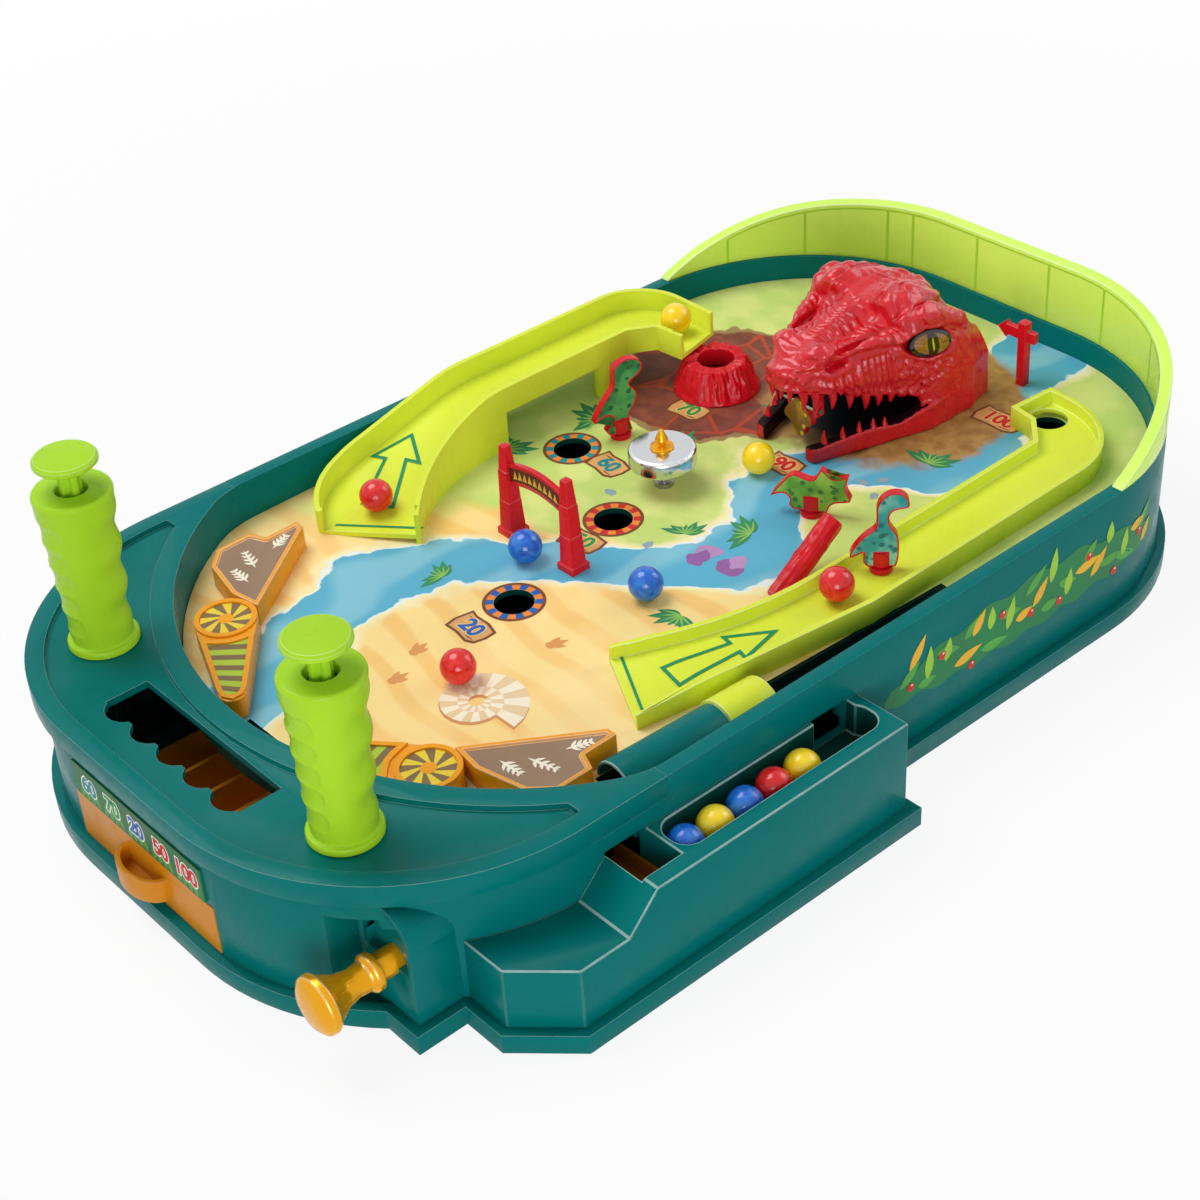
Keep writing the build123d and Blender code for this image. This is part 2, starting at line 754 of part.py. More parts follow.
# Wall shell: body wall, rear rim, ledge for the playfield and screw bosses
with BuildPart() as wall_shell:
    with BuildSketch(Plane.XY.offset(plate_floor)):
        add(body_outline(0, front_setback))
    extrude(amount=band_bottom - plate_floor)
    with BuildSketch(Plane.XY.offset(band_bottom)):
        add(part_of(body_outline(), deck_split, False))
    extrude(amount=band_height)
    with BuildSketch(Plane.XY.offset(plate_floor)):
        add(body_outline(-wall, front_setback))
    extrude(amount=ledge_bottom - plate_floor, mode=Mode.SUBTRACT)
    with BuildSketch(Plane.XY.offset(ledge_bottom)):
        add(part_of(body_outline(-wall, front_setback), deck_split, True))
    extrude(amount=rim_height, mode=Mode.SUBTRACT)
    with BuildSketch(Plane.XY.offset(ledge_bottom)):
        add(basin_outline(-ledge_width))
    extrude(amount=rim_height, mode=Mode.SUBTRACT)
    with BuildSketch(field.offset(-board_thick)):
        add(basin_outline())
    extrude(amount=rim_height, mode=Mode.SUBTRACT)
    with BuildSketch(Plane.XY.offset(plate_floor)):
        with Locations(*places(screw_shares)):
            Circle(boss_radius)
    extrude(amount=boss_height)
    with BuildSketch(Plane.XY.offset(plate_floor)):
        with Locations(*places(screw_shares)):
            Circle(screw_radius + seat_gap)
    extrude(amount=screw_length, mode=Mode.SUBTRACT)
    # Drawer opening
    with BuildSketch(front_plane(drawer_front - overrun)):
        with Locations((0, flange_height)):
            Rectangle(
                drawer_width + 2 * slide_gap, drawer_height + 2 * slide_gap,
                align=(Align.CENTER, Align.MIN),
            )
    extrude(amount=-(wall + 2 * overrun), mode=Mode.SUBTRACT)
    # Niche beside the barrel, with its cheek and ceiling
    with BuildSketch(Plane.XY.offset(plate_floor)):
        add(body_outline(0, front_setback))
        with Locations((niche_left - wall, barrel_front)):
            Rectangle(body_width, body_length, align=(Align.MIN, Align.MAX), mode=Mode.INTERSECT)
    extrude(amount=niche_top + wall - plate_floor)
    with BuildSketch(Plane.XY.offset(plate_floor)):
        with Locations((niche_left, barrel_front)):
            Rectangle(body_width, body_length, align=(Align.MIN, Align.MAX))
    extrude(amount=niche_top - plate_floor, mode=Mode.SUBTRACT)
    with BuildSketch(front_plane(barrel_front)):
        add(barrel_profile(seat_gap))
    extrude(amount=barrel_front - barrel_rear, mode=Mode.SUBTRACT)
    # Openings to the side tray
    for spot, low in ((feed_y, feed_sill), (tray_window_y, trough_floor)):
        with BuildSketch(Plane.YZ.offset(half_width - rim_width - ledge_width - overrun)):
            with Locations((spot, low)):
                Rectangle(window_width, tray_height - low, align=(Align.CENTER, Align.MIN))
        extrude(amount=rim_width + ledge_width + 2 * overrun, mode=Mode.SUBTRACT)
    # Room for the launch chute in the ledge
    with BuildSketch(Plane.XY.offset(plate_floor)):
        with Locations((half_width - rim_width, (chute_room_front + chute_room_rear) / 2)):
            Rectangle(2 * ledge_width, chute_room_rear - chute_room_front, align=(Align.MAX, Align.CENTER))
    extrude(amount=rim_height, mode=Mode.SUBTRACT)
save(wall_shell, "wall_shell")

# Front deck: cap with a sunken crescent panel, the drawer window and the basin's front wall
with BuildPart() as front_deck:
    with BuildSketch(Plane.XY.offset(band_bottom)):
        add(part_of(body_outline(), deck_split, True))
    extrude(amount=band_height)
    with BuildSketch(Plane.XY.offset(ledge_bottom)):
        add(part_of(basin_outline(wall - seat_gap), deck_split, True))
    extrude(amount=band_bottom - ledge_bottom)
    with BuildSketch(Plane.XY.offset(band_bottom)):
        add(crescent(wall + front_setback, wall, deck_panel_end))
    extrude(amount=band_height - deck_plate, mode=Mode.SUBTRACT)
    with BuildSketch(Plane.XY.offset(ledge_bottom)):
        add(basin_outline(-ledge_width))
    extrude(amount=rim_height, mode=Mode.SUBTRACT)
    with BuildSketch(field.offset(-board_thick)):
        add(basin_outline())
    extrude(amount=rim_height, mode=Mode.SUBTRACT)
    with BuildSketch(Plane.XY.offset(rim_height)) as panel:
        add(crescent(panel_edge, panel_inner, deck_panel_end))
        fillet(panel.vertices().group_by(Axis.Y)[-1], panel_corner)
    extrude(amount=-panel_depth, mode=Mode.SUBTRACT)
    # Window over the drawer, with one scallop for each pocket
    with BuildSketch(Plane.XY.offset(rim_height)):
        with Locations((0, window_rear)):
            Rectangle(window_span, window_depth - scallop_radius / 2, align=(Align.CENTER, Align.MAX))
        with Locations((0, window_rear - window_depth + scallop_radius)):
            with GridLocations(window_span / drawer_pockets, 0, drawer_pockets, 1):
                Circle(scallop_radius)
    extrude(amount=-band_height, mode=Mode.SUBTRACT)
    # Holes for the button stems
    with BuildSketch(Plane.XY.offset(rim_height)):
        with Locations((-grip_x, grip_y), (grip_x, grip_y)):
            Circle(stem_hole_radius)
    extrude(amount=-band_height, mode=Mode.SUBTRACT)
    # Notch that lets a ball roll under the board into the launch lane
    with BuildSketch(Plane.XY.offset(ledge_bottom)):
        with Locations((half_width - rim_width, feed_y + feed_notch_shift)):
            Rectangle(feed_notch_reach, feed_notch_length, align=(Align.MAX, Align.CENTER))
    extrude(amount=feed_notch_height, mode=Mode.SUBTRACT)
save(front_deck, "front_deck")

# Side ball tray with its trough, feed hole and cavity
with BuildPart() as ball_tray:
    with BuildSketch(Plane.XY.offset(plate_floor)):
        add(tray_outline())
        add(body_outline(0, front_setback), mode=Mode.SUBTRACT)
    extrude(amount=tray_height - plate_floor)
    with BuildSketch(Plane.YZ):
        with BuildLine():
            Polyline(
                (tray_front - overrun, tray_step_height),
                (tray_slope_front, tray_step_height),
                (tray_slope_rear, tray_height),
                (tray_slope_rear, tray_height + overrun),
                (tray_front - overrun, tray_height + overrun),
                close=True,
            )
        make_face()
    extrude(amount=body_width, mode=Mode.SUBTRACT)
    with BuildSketch(Plane.XY.offset(plate_floor)):
        add(tray_outline(-wall))
        add(body_outline(wall, front_setback), mode=Mode.SUBTRACT)
    extrude(amount=trough_floor - wall - plate_floor, mode=Mode.SUBTRACT)
    with BuildSketch(Plane.XY.offset(trough_floor)):
        with Locations((trough_x, (trough_front + trough_rear) / 2)):
            RectangleRounded(trough_width, trough_rear - trough_front, trough_corner)
        with Locations((trough_x, tray_window_y)):
            Rectangle(trough_width, window_width, align=(Align.MAX, Align.CENTER))
    extrude(amount=tray_height, mode=Mode.SUBTRACT)
    with BuildSketch(Plane.XY.offset(plate_floor)):
        with Locations((trough_x + trough_width / 2, feed_y)):
            Rectangle(trough_width + tray_depth, window_width, align=(Align.MAX, Align.CENTER))
    extrude(amount=tray_height, mode=Mode.SUBTRACT)
save(ball_tray, "ball_tray")

# Hood of the plunger barrel: its higher round top ahead of the body's wall
with BuildPart() as barrel_hood:
    with BuildSketch(Plane.XY.offset(plate_floor)):
        add(barrel_outline())
        add(body_outline(seat_gap, front_setback), mode=Mode.SUBTRACT)
    extrude(amount=band_bottom - plate_floor)
    with BuildSketch(front_plane(barrel_front)):
        add(barrel_profile(0, hood_lift))
    extrude(amount=barrel_front - barrel_rear, mode=Mode.INTERSECT)

# Plunger barrel with its spring chamber and the plate that closes the niche
with BuildPart() as plunger_barrel:
    with BuildSketch(front_plane(barrel_front)):
        add(barrel_profile())
    extrude(amount=barrel_front - barrel_rear)
    add(barrel_hood.part)
    with BuildSketch(front_plane(barrel_front)):
        add(barrel_profile(-hood_wall, hood_lift, plunger_height))
    extrude(amount=-hood_recess, mode=Mode.SUBTRACT)
    with BuildSketch(front_plane(barrel_front)):
        with Locations((niche_left - wall, plate_floor)):
            Rectangle(niche_gap + wall, niche_top + wall - plate_floor, align=Align.MIN)
    extrude(amount=-wall)
    turn(plunger_plane, rod(chamber_radius, -barrel_length - overrun, -barrel_mouth), Mode.SUBTRACT)
    turn(plunger_plane, rod(rod_radius + run_gap, -overrun, overrun), Mode.SUBTRACT)
save(plunger_barrel, "plunger_barrel")

# Playfield board with score holes, drain, lane slot and the holes for shafts and pegs
with BuildPart() as playfield_board:
    with BuildSketch(field):
        add(basin_outline(-slide_gap))
    extrude(amount=-board_thick)
    extrude(lane_slot(slide_gap), amount=rim_height, mode=Mode.SUBTRACT)
    with BuildSketch(field):
        with Locations(*places([*hole_shares, volcano_shares, pocket_shares, throat_shares])):
            Circle(hole_diameter / 2)
    extrude(amount=-board_thick, mode=Mode.SUBTRACT)
    with BuildSketch(field):
        with Locations((0, drain_rear)):
            Rectangle(drain_width, body_length, align=(Align.CENTER, Align.MAX))
    extrude(amount=-board_thick, mode=Mode.SUBTRACT)
    with BuildSketch(field):
        with Locations((-flipper_x, flipper_y), (flipper_x, flipper_y)):
            Circle(shaft_radius + run_gap)
    extrude(amount=-board_thick, mode=Mode.SUBTRACT)
save(playfield_board, "playfield_board")

# Return tray under the board: a sloped plate with a fan of ribs that lead to the drawer's pockets
with BuildPart() as return_tray:
    with BuildSketch(return_plane) as plate:
        with BuildLine():
            Polyline(*return_outline, close=True)
        make_face()
    extrude(amount=-return_thick)
    with BuildSketch(return_plane):
        add(return_edge())
    extrude(amount=return_rib)
    for rank in range(1, drawer_pockets):
        with BuildSketch(return_plane):
            with BuildLine():
                Polyline(*return_divider(rank), close=True)
            make_face()
        extrude(amount=return_rib)
    for spot in places(return_leg_shares):
        with BuildSketch(Plane((*spot, plate_floor))):
            Circle(leg_radius)
        extrude(amount=return_height(spot[1]) - return_thick / 2 - plate_floor)
save(return_tray, "return_tray")

# Launch chute: an inclined channel on a keel, open towards the feed chute
with BuildPart() as launch_chute:
    with BuildSketch(lane_frame):
        with BuildLine():
            Polyline(
                (0, lane_low - lane_floor), (lane_length, lane_high - lane_floor),
                (lane_length, lane_high + lane_side), (0, lane_low + lane_side), close=True,
            )
        make_face()
    extrude(amount=lane_half + lane_wall, both=True)
    with BuildSketch(lane_frame):
        with BuildLine():
            Polyline(
                (-overrun, lane_low - overrun * lane_grade),
                (lane_length + overrun, lane_high + overrun * lane_grade),
                (lane_length + overrun, lane_high + body_width),
                (-overrun, lane_low + body_width), close=True,
            )
        make_face()
    extrude(amount=lane_half, both=True, mode=Mode.SUBTRACT)
    with BuildSketch(lane_frame):
        with BuildLine():
            Polyline(
                (keel_front, plate_floor), (lane_length - lane_wall, plate_floor),
                (lane_length - lane_wall, lane_high - lane_floor),
                (keel_front, lane_low + keel_front * lane_grade - lane_floor),
                close=True,
            )
        make_face()
    extrude(amount=keel_thick / 2, both=True)
    with BuildSketch(field.offset(lane_lip)):
        Rectangle(2 * body_width, 2 * body_length)
    extrude(amount=rim_height, mode=Mode.SUBTRACT)
    with BuildSketch(Plane.XY):
        with Locations((half_width - rim_width - slide_gap, 0)):
            Rectangle(body_width, 2 * body_length, align=(Align.MIN, Align.CENTER))
    extrude(amount=rim_height, mode=Mode.SUBTRACT)
    with BuildSketch(Plane.XY.offset(feed_low)):
        with Locations((plunger_x + lane_half / 2, feed_y)):
            Rectangle(body_width, feed_width + 2 * feed_wall, align=(Align.MIN, Align.CENTER))
    extrude(amount=rim_height, mode=Mode.SUBTRACT)
save(launch_chute, "launch_chute")

# Feed chute: a short sloped channel from the tray's feed hole to the lane
with BuildPart() as feed_chute:
    with BuildSketch(front_plane(feed_y)):
        with BuildLine():
            Polyline(
                (feed_inner, feed_low - feed_floor), (feed_outer, feed_high - feed_floor),
                (feed_outer, feed_high + feed_side), (feed_inner, feed_low + feed_side), close=True,
            )
        make_face()
    extrude(amount=feed_width / 2 + feed_wall, both=True)
    with BuildSketch(front_plane(feed_y)):
        with BuildLine():
            Polyline(
                (feed_inner - feed_floor, feed_low), (feed_outer - feed_wall, feed_high),
                (feed_outer - feed_wall, feed_high + body_width),
                (feed_inner - feed_floor, feed_low + body_width),
                close=True,
            )
        make_face()
    extrude(amount=feed_width / 2, both=True, mode=Mode.SUBTRACT)
    with BuildSketch(Plane.XY.offset(plate_floor)):
        with Locations((feed_outer - trough_width / 2, feed_y)):
            Rectangle(keel_thick, feed_width)
    extrude(amount=feed_low - plate_floor)
save(feed_chute, "feed_chute")


def lane_section(along):
    """Plane across the launch lane on the playfield, looking up the lane, with Y down."""
    x = plunger_x + along * lane_dir[0]
    y = lane_start + along * lane_dir[1]
    return Plane((x, y, field_height(y) + seat_gap), x_dir=lane_right, z_dir=(*lane_dir, slope_rise))


def half_pipe(along, length, inner, outer):
    """Half pipe over the launch lane, open below, in the open part."""
    with BuildSketch(lane_section(along)) as ring:
        Circle(outer)
        Circle(inner, mode=Mode.SUBTRACT)
        Rectangle(4 * outer, 2 * outer, align=(Align.CENTER, Align.MAX), mode=Mode.INTERSECT)
    extrude(ring.sketch, amount=length)


# Lane cover and the clip behind it
with BuildPart() as lane_cover:
    half_pipe(cover_front, cover_length, cover_inner, cover_inner + cover_wall)
save(lane_cover, "lane_cover")
with BuildPart() as lane_clip:
    half_pipe(cover_front + cover_length, clip_length, cover_inner, cover_inner + clip_wall)
save(lane_clip, "lane_clip")


def ramp_band(line, lower, upper):
    """Side view of a ramp's floor line with material below and above it."""
    with BuildSketch(Plane.YZ, mode=Mode.PRIVATE) as band:
        with BuildLine():
            low = FilletPolyline(*[(y, z - lower) for y, z in line], radius=ramp_bend)
            high = FilletPolyline(*[(y, z + upper) for y, z in line], radius=ramp_bend)
            Line(low @ 0, high @ 0)
            Line(low @ 1, high @ 1)
        make_face()
    return band.sketch


def ramp_solid(band, plan):
    """Ramp piece with a side view and a plan."""
    with BuildPart(mode=Mode.PRIVATE) as solid:
        extrude(band, amount=body_width, both=True)
        extrude(plan, amount=2 * body_width, both=True, mode=Mode.INTERSECT)
    return solid.part


def gateway(start, end, margin, depth):
    """Plan patch along an open edge of a ramp, between its side walls."""
    run = Vector(*end) - Vector(*start)
    middle = (Vector(*start) + Vector(*end)) / 2
    with BuildSketch(mode=Mode.PRIVATE) as patch:
        with Locations(Location((middle.X, middle.Y, 0), (0, 0, degrees(atan2(run.Y, run.X))))):
            Rectangle(run.length - 2 * margin, 2 * depth)
    return patch.sketch


def ramp_edges(plan, gates):
    """Plan of a ramp's side walls, open at its gateways."""
    with BuildSketch(mode=Mode.PRIVATE) as strip:
        add(plan)
        offset(plan, amount=-ramp_wall, mode=Mode.SUBTRACT)
        for start, end in gates:
            add(gateway(start, end, ramp_wall, ramp_gate), mode=Mode.SUBTRACT)
    return strip.sketch


def below_field():
    """Cut the open part off at the playfield."""
    with BuildSketch(field) as cut:
        Rectangle(2 * body_width, 2 * body_length)
    extrude(cut.sketch, amount=-rim_height, mode=Mode.SUBTRACT)


# Left ramp: climbs along the left wall and turns right over the crater
with BuildSketch() as left_plan:
    foot, side, top, turn_in, exit_far, exit_near, neck, inner, low, toe = places(left_ramp_shares)
    with BuildLine():
        TangentArc(side, foot, tangent=(0, -1))
        Line(side, top)
        TangentArc(top, turn_in, tangent=(0, 1))
        Line(turn_in, exit_far)
        Line(exit_far, exit_near)
        Line(exit_near, neck)
        Line(neck, inner)
        Line(inner, low)
        TangentArc(low, toe, tangent=(0, -1))
        Line(toe, foot)
    make_face()
left_gates = [(foot, toe), (exit_far, exit_near)]
left_edges = ramp_edges(left_plan.sketch, left_gates)
with BuildPart() as left_ramp:
    add(ramp_solid(ramp_band(left_ramp_line, ramp_floor, 0), left_plan.sketch))
    add(ramp_solid(ramp_band(left_ramp_line, ramp_floor, left_ramp_side), left_edges))
    add(ramp_solid(ramp_band(left_ramp_line, rim_height, 0), part_of(left_edges, left_skirt_end, True)))
    with BuildSketch(field):
        with Locations(place(left_leg_shares)):
            Circle(leg_radius)
    left_leg_y = place(left_leg_shares)[1]
    extrude(amount=line_height(left_ramp_line, left_leg_y) - ramp_floor / 2 - field_height(left_leg_y))
    below_field()
save(left_ramp, "left_ramp")

# Right ramp: a low trough along the launch lane that ends in a pocket with a hole
with BuildSketch() as right_plan:
    foot, waist, side, top, corner, exit_far, exit_near, neck, inner, low, toe = places(right_ramp_shares)
    with BuildLine():
        Polyline(foot, waist, side)
        Line(side, top)
        TangentArc(top, corner, tangent=(0, 1))
        Line(corner, exit_far)
        Line(exit_far, exit_near)
        Line(exit_near, neck)
        Line(neck, inner)
        Line(inner, low)
        TangentArc(low, toe, tangent=(0, -1))
        Line(toe, foot)
    make_face()
right_edges = ramp_edges(right_plan.sketch, [(foot, toe)])
with BuildPart() as right_ramp:
    add(ramp_solid(ramp_band(right_ramp_line, ramp_floor, 0), right_plan.sketch))
    add(ramp_solid(ramp_band(right_ramp_line, rim_height, right_ramp_side), right_edges))
    with BuildSketch(field):
        with Locations(place(pocket_shares)):
            Circle(hole_diameter / 2)
    extrude(amount=rim_height, mode=Mode.SUBTRACT)
    below_field()
save(right_ramp, "right_ramp")

# Back shield: an arch that stands on the rear rim
with BuildPart() as back_shield:
    with BuildSketch(Plane.XY.offset(rim_height)):
        add(part_of(body_outline(), shield_line[0][0], False))
        add(body_outline(-shield_thick), mode=Mode.SUBTRACT)
    extrude(amount=rim_height)
    with BuildSketch(Plane.YZ):
        with BuildLine():
            crown = Spline(*shield_line)
            Polyline(
                crown @ 1, (half_length + overrun, shield_line[-1][1]), (half_length + overrun, rim_height),
                (shield_line[0][0], rim_height), crown @ 0,
            )
        make_face()
    extrude(amount=body_width, both=True, mode=Mode.INTERSECT)
save(back_shield, "back_shield")

# Volcano: a low cone with a crater that leads through the board
volcano_plane = on_field(*place(volcano_shares))
with BuildPart() as volcano:
    turn(volcano_plane, [
        (volcano_base_radius - volcano_wall, 0), (volcano_base_radius, 0),
        (volcano_top_radius, volcano_height), (hole_diameter / 2, volcano_height),
        (hole_diameter / 2, volcano_height - crater_depth),
    ])
save(volcano, "volcano")


def head_section(station, inset):
    """Cross section of the dinosaur's skull at one station, drawn in by an inset."""
    along, low, low_half, cheek, cheek_half, brow, brow_half, crown, crown_half, dip = station
    half = [
        (low_half - inset, low - inset), (cheek_half - inset, cheek),
        (brow_half - inset, brow - inset / 2), (crown_half - inset / 2, crown - inset),
    ]
    plane = Plane(field.location * Location((head_x, along, 0), (90, 0, 0)))
    with BuildSketch(plane, mode=Mode.PRIVATE) as section:
        with BuildLine():
            ridge = (0, crown - dip - inset)
            Polyline(*half, ridge, *[(-x, z) for x, z in reversed(half)], close=True)
        make_face()
    return section.sketch


def head_loft(stations, inset, mode=Mode.ADD):
    """Loft the skull through its stations, in the open part."""
    sections = [head_section(station, inset).faces()[0] for station in stations]
    loft(sections, ruled=True, mode=mode)


def jaw_points(side):
    """Plan of one side of the lower jaw."""
    return [(head_x + side * x, y) for x, y in jaw_outline]


# Dinosaur head: hollow skull, lower jaw rails and the lugs for the mouth flap
with BuildPart() as dino_head:
    head_loft(head_stations, 0)
    head_loft(head_stations[1:-1], head_wall, Mode.SUBTRACT)
    with BuildPart(mode=Mode.PRIVATE) as jaw:
        for side in (-1, 1):
            with BuildSketch(field):
                with BuildLine():
                    Polyline(*jaw_points(side), close=True)
                make_face()
            extrude(amount=jaw_rear_height)
        with BuildSketch(Plane(field.origin, x_dir=field.y_dir, z_dir=field.x_dir)):
            with BuildLine():
                Polyline(
                    (head_front - overrun, head_height), (head_front - overrun, jaw_height),
                    (jaw_rise[0], jaw_height), (jaw_rise[1], jaw_rear_height),
                    (head_front + head_length + overrun, jaw_rear_height),
                    (head_front + head_length + overrun, head_height), close=True,
                )
            make_face()
        extrude(amount=2 * head_half, both=True, mode=Mode.SUBTRACT)
    add(jaw.part)
    for side in (-1, 1):
        with BuildSketch(on_field(head_x + side * lug_spread, flap_y, flap_pin_up - lug_drop)):
            Rectangle(lug_thick, lug_width)
        extrude(amount=lug_drop + lug_reach)
    with Locations(flap_axis):
        Cylinder(flap_pin_radius, 4 * lug_spread, mode=Mode.SUBTRACT)
    with BuildSketch(field):
        with Locations(place(throat_shares)):
            Circle(hole_diameter / 2)
    extrude(amount=throat_clear, mode=Mode.SUBTRACT)
    below_field()
save(dino_head, "dino_head")

# Teeth along the lower jaw
with BuildPart() as dino_teeth:
    for side in (-1, 1):
        for rank in range(tooth_count):
            share = rank / (tooth_count - 1)
            (front_x, front_y), (rear_x, rear_y) = tooth_shares
            x = head_x + side * head_half * (front_x + share * (rear_x - front_x))
            y = head_front + head_length * (front_y + share * (rear_y - front_y))
            top = jaw_height + jaw_grade * (y - jaw_rise[0])
            tilt = Location((0, 0, 0), (degrees(atan2(jaw_grade, 1)), 0, 0))
            seat = Plane(on_field(x, y, top).location * tilt)
            turn(seat, [(0, 0), (tooth_radius, 0), (0, tooth_height)])
save(dino_teeth, "dino_teeth")

# Eyes: a domed almond pair set on the skull's sides
with BuildPart() as dino_eyes:
    for side in (-1, 1):
        eye_spot = (
            head_x + side * eye_shares[0] * head_half,
            head_front + eye_shares[1] * head_length,
            eye_shares[2] * head_height,
        )
        eye_lean = side * (eye_yaw_share + eye_slant_share * eye_tilt_share)
        eye_face = Plane(
            eye_spot, x_dir=(eye_lean, 1, -eye_slant_share), z_dir=(side, -eye_yaw_share, eye_tilt_share)
        )
        eye_plane = Plane(field.location * eye_face.location)
        with BuildSketch(eye_plane.offset(-eye_depth)):
            Ellipse(eye_long / 2, eye_tall / 2)
        extrude(amount=eye_depth + eye_edge)
        with BuildSketch(eye_plane.offset(eye_edge)):
            Ellipse(eye_long / 2, eye_tall / 2)
        with BuildSketch(eye_plane.offset(eye_dome)):
            Ellipse(eye_dome_share * eye_long / 2, eye_dome_share * eye_tall / 2)
        loft()
    head_loft(head_stations, 0, Mode.SUBTRACT)
save(dino_eyes, "dino_eyes")

# Mouth flap and the pin it hangs on
with BuildPart() as flap_pin:
    with Locations(flap_axis):
        Cylinder(flap_pin_radius, 2 * lug_spread + lug_thick)
save(flap_pin, "flap_pin")
with BuildPart() as mouth_flap:
    with BuildSketch(Plane(field.location * Location((head_x, flap_y, flap_pin_up), (90, 0, 0)))):
        with BuildLine():
            Spline(*[(x * flap_width, z * flap_height) for x, z in flap_shares], periodic=True)
        make_face()
        Circle(flap_eye_radius)
    extrude(amount=flap_thick / 2, both=True)
    with Locations(flap_axis):
        Cylinder(flap_pin_radius + run_gap, flap_width, mode=Mode.SUBTRACT)
save(mouth_flap, "mouth_flap")

# Gate: two stepped tapered posts with a curved banner between them
with BuildPart() as gate:
    for side in (-1, 1):
        for low, high, foot_size, top_size in gate_steps:
            with BuildSketch(on_field(gate_x + side * gate_span / 2, gate_y, low)):
                Rectangle(foot_size, foot_size)
            with BuildSketch(on_field(gate_x + side * gate_span / 2, gate_y, high)):
                Rectangle(top_size, top_size)
            loft()
    with BuildSketch(Plane(field.location * Location((gate_x, gate_y, 0), (90, 0, 0)))):
        with BuildLine():
            left, right = (-gate_span / 2, banner_low), (gate_span / 2, banner_low)
            lower = ThreePointArc(left, (0, banner_low + banner_rise), right)
            upper = ThreePointArc(
                (left[0], banner_low + banner_tall), (0, banner_low + banner_tall + banner_rise),
                (right[0], banner_low + banner_tall),
            )
            Line(lower @ 0, upper @ 0)
            Line(lower @ 1, upper @ 1)
        make_face()
    extrude(amount=banner_thick / 2, both=True)
save(gate, "gate")

# Orange guides beside the flippers
for side, name in ((-1, "left_guide"), (1, "right_guide")):
    with BuildPart() as guide:
        with BuildSketch(field):
            with BuildLine():
                Polyline(*places([mirrored(shares, side) for shares in guide_shares]), close=True)
            make_face()
        extrude(amount=guide_height)
        with BuildSketch(field.offset(guide_height)) as inlay:
            with BuildLine():
                Polyline(*places([mirrored(shares, side) for shares in guide_shares]), close=True)
            make_face()
            offset(amount=-guide_frame, mode=Mode.REPLACE)
        extrude(amount=-guide_inlay, mode=Mode.SUBTRACT)
    save(guide, name)

# Leaning log, cut flat where it stands on the board
with BuildPart() as leaning_log:
    log_x, log_y = place(log_shares)
    log_plane = Plane(field.location * Location((log_x, log_y, 0), (-log_lean, 0, 0)))
    turn(log_plane, rod(log_radius, -2 * log_radius, log_length))
    below_field()
save(leaning_log, "leaning_log")

# Sign: a post with an arrow board
with BuildPart() as sign_post:
    sign_x, sign_y = place(sign_shares)
    with BuildSketch(on_field(sign_x, sign_y)):
        Rectangle(sign_post_size, sign_post_size)
    extrude(amount=sign_height)
    with BuildSketch(Plane(field.location * Location((sign_x, sign_y, sign_board_up), (90, 0, 0)))):
        with BuildLine():
            Polyline(*[(x * sign_board_width, z * sign_board_tall) for x, z in sign_board_shares], close=True)
        make_face()
    extrude(amount=sign_board_thick / 2, both=True)
save(sign_post, "sign_post")

# Hand grips: turned handles with finger scallops on the far side
for side, name in ((-1, "left_grip"), (1, "right_grip")):
    grip_plane = Plane((side * grip_x, grip_y, grip_base))
    with BuildPart() as grip:
        turn(grip_plane, [
            (stem_hole_radius, 0), (grip_ring_radius, 0), (grip_ring_radius, grip_ring_height),
            (grip_low_radius, grip_ring_height), (grip_top_radius, grip_height - grip_lip),
            (grip_top_radius, grip_height), (stem_hole_radius, grip_height),
            (stem_hole_radius, grip_height - grip_cap), (grip_bore_radius, grip_height - grip_cap),
            (grip_bore_radius, grip_floor), (stem_hole_radius, grip_floor),
        ])
        for rank in range(scallop_count):
            up = grip_ring_height + (rank + 1) * (grip_height - grip_ring_height) / (scallop_count + 1)
            scallop_y = grip_y + grip_top_radius + grip_scallop - scallop_bite
            with Locations((side * grip_x, scallop_y, grip_base + up)):
                Cylinder(grip_scallop, 2 * grip_top_radius, rotation=(0, 90, 0), mode=Mode.SUBTRACT)
    save(grip, name)

# Thumb buttons: cap, cross-shaped stem, collar and the fork that straddles the slider
for side, name in ((-1, "left_button"), (1, "right_button")):
    x = side * grip_x
    with BuildPart() as button:
        turn(Plane((x, grip_y, button_top - cap_height)), [
            (0, 0), (cap_radius - cap_edge, 0), (cap_radius, cap_edge), (cap_radius, cap_height - cap_edge),
            (cap_radius - cap_edge, cap_height), (0, cap_height),
        ])
        with BuildSketch(Plane.XY.offset(fork_top - fork_bridge)):
            with Locations((x, grip_y)):
                Rectangle(stem_size, stem_web)
                Rectangle(stem_web, stem_size)
        extrude(amount=button_top - cap_height - fork_top + fork_bridge)
        turn(Plane((x, grip_y, collar_top - collar_height)), rod(collar_radius, 0, collar_height))
        with BuildSketch(Plane.XY.offset(pin_height - fork_tail)):
            with Locations((x, grip_y)):
                Rectangle(slider_thick + 2 * slide_gap + 2 * fork_cheek, stem_size)
        extrude(amount=fork_top - pin_height + fork_tail)
        with BuildSketch(Plane.XY.offset(pin_height - fork_tail)):
            with Locations((x, grip_y)):
                Rectangle(slider_thick + 2 * slide_gap, 2 * stem_size)
        extrude(amount=fork_top - fork_bridge - pin_height + fork_tail, mode=Mode.SUBTRACT)
        with Locations((x, grip_y, pin_height)):
            Cylinder(pin_radius, slider_thick + 2 * slide_gap + 2 * fork_cheek, rotation=(0, 90, 0))
    save(button, name)

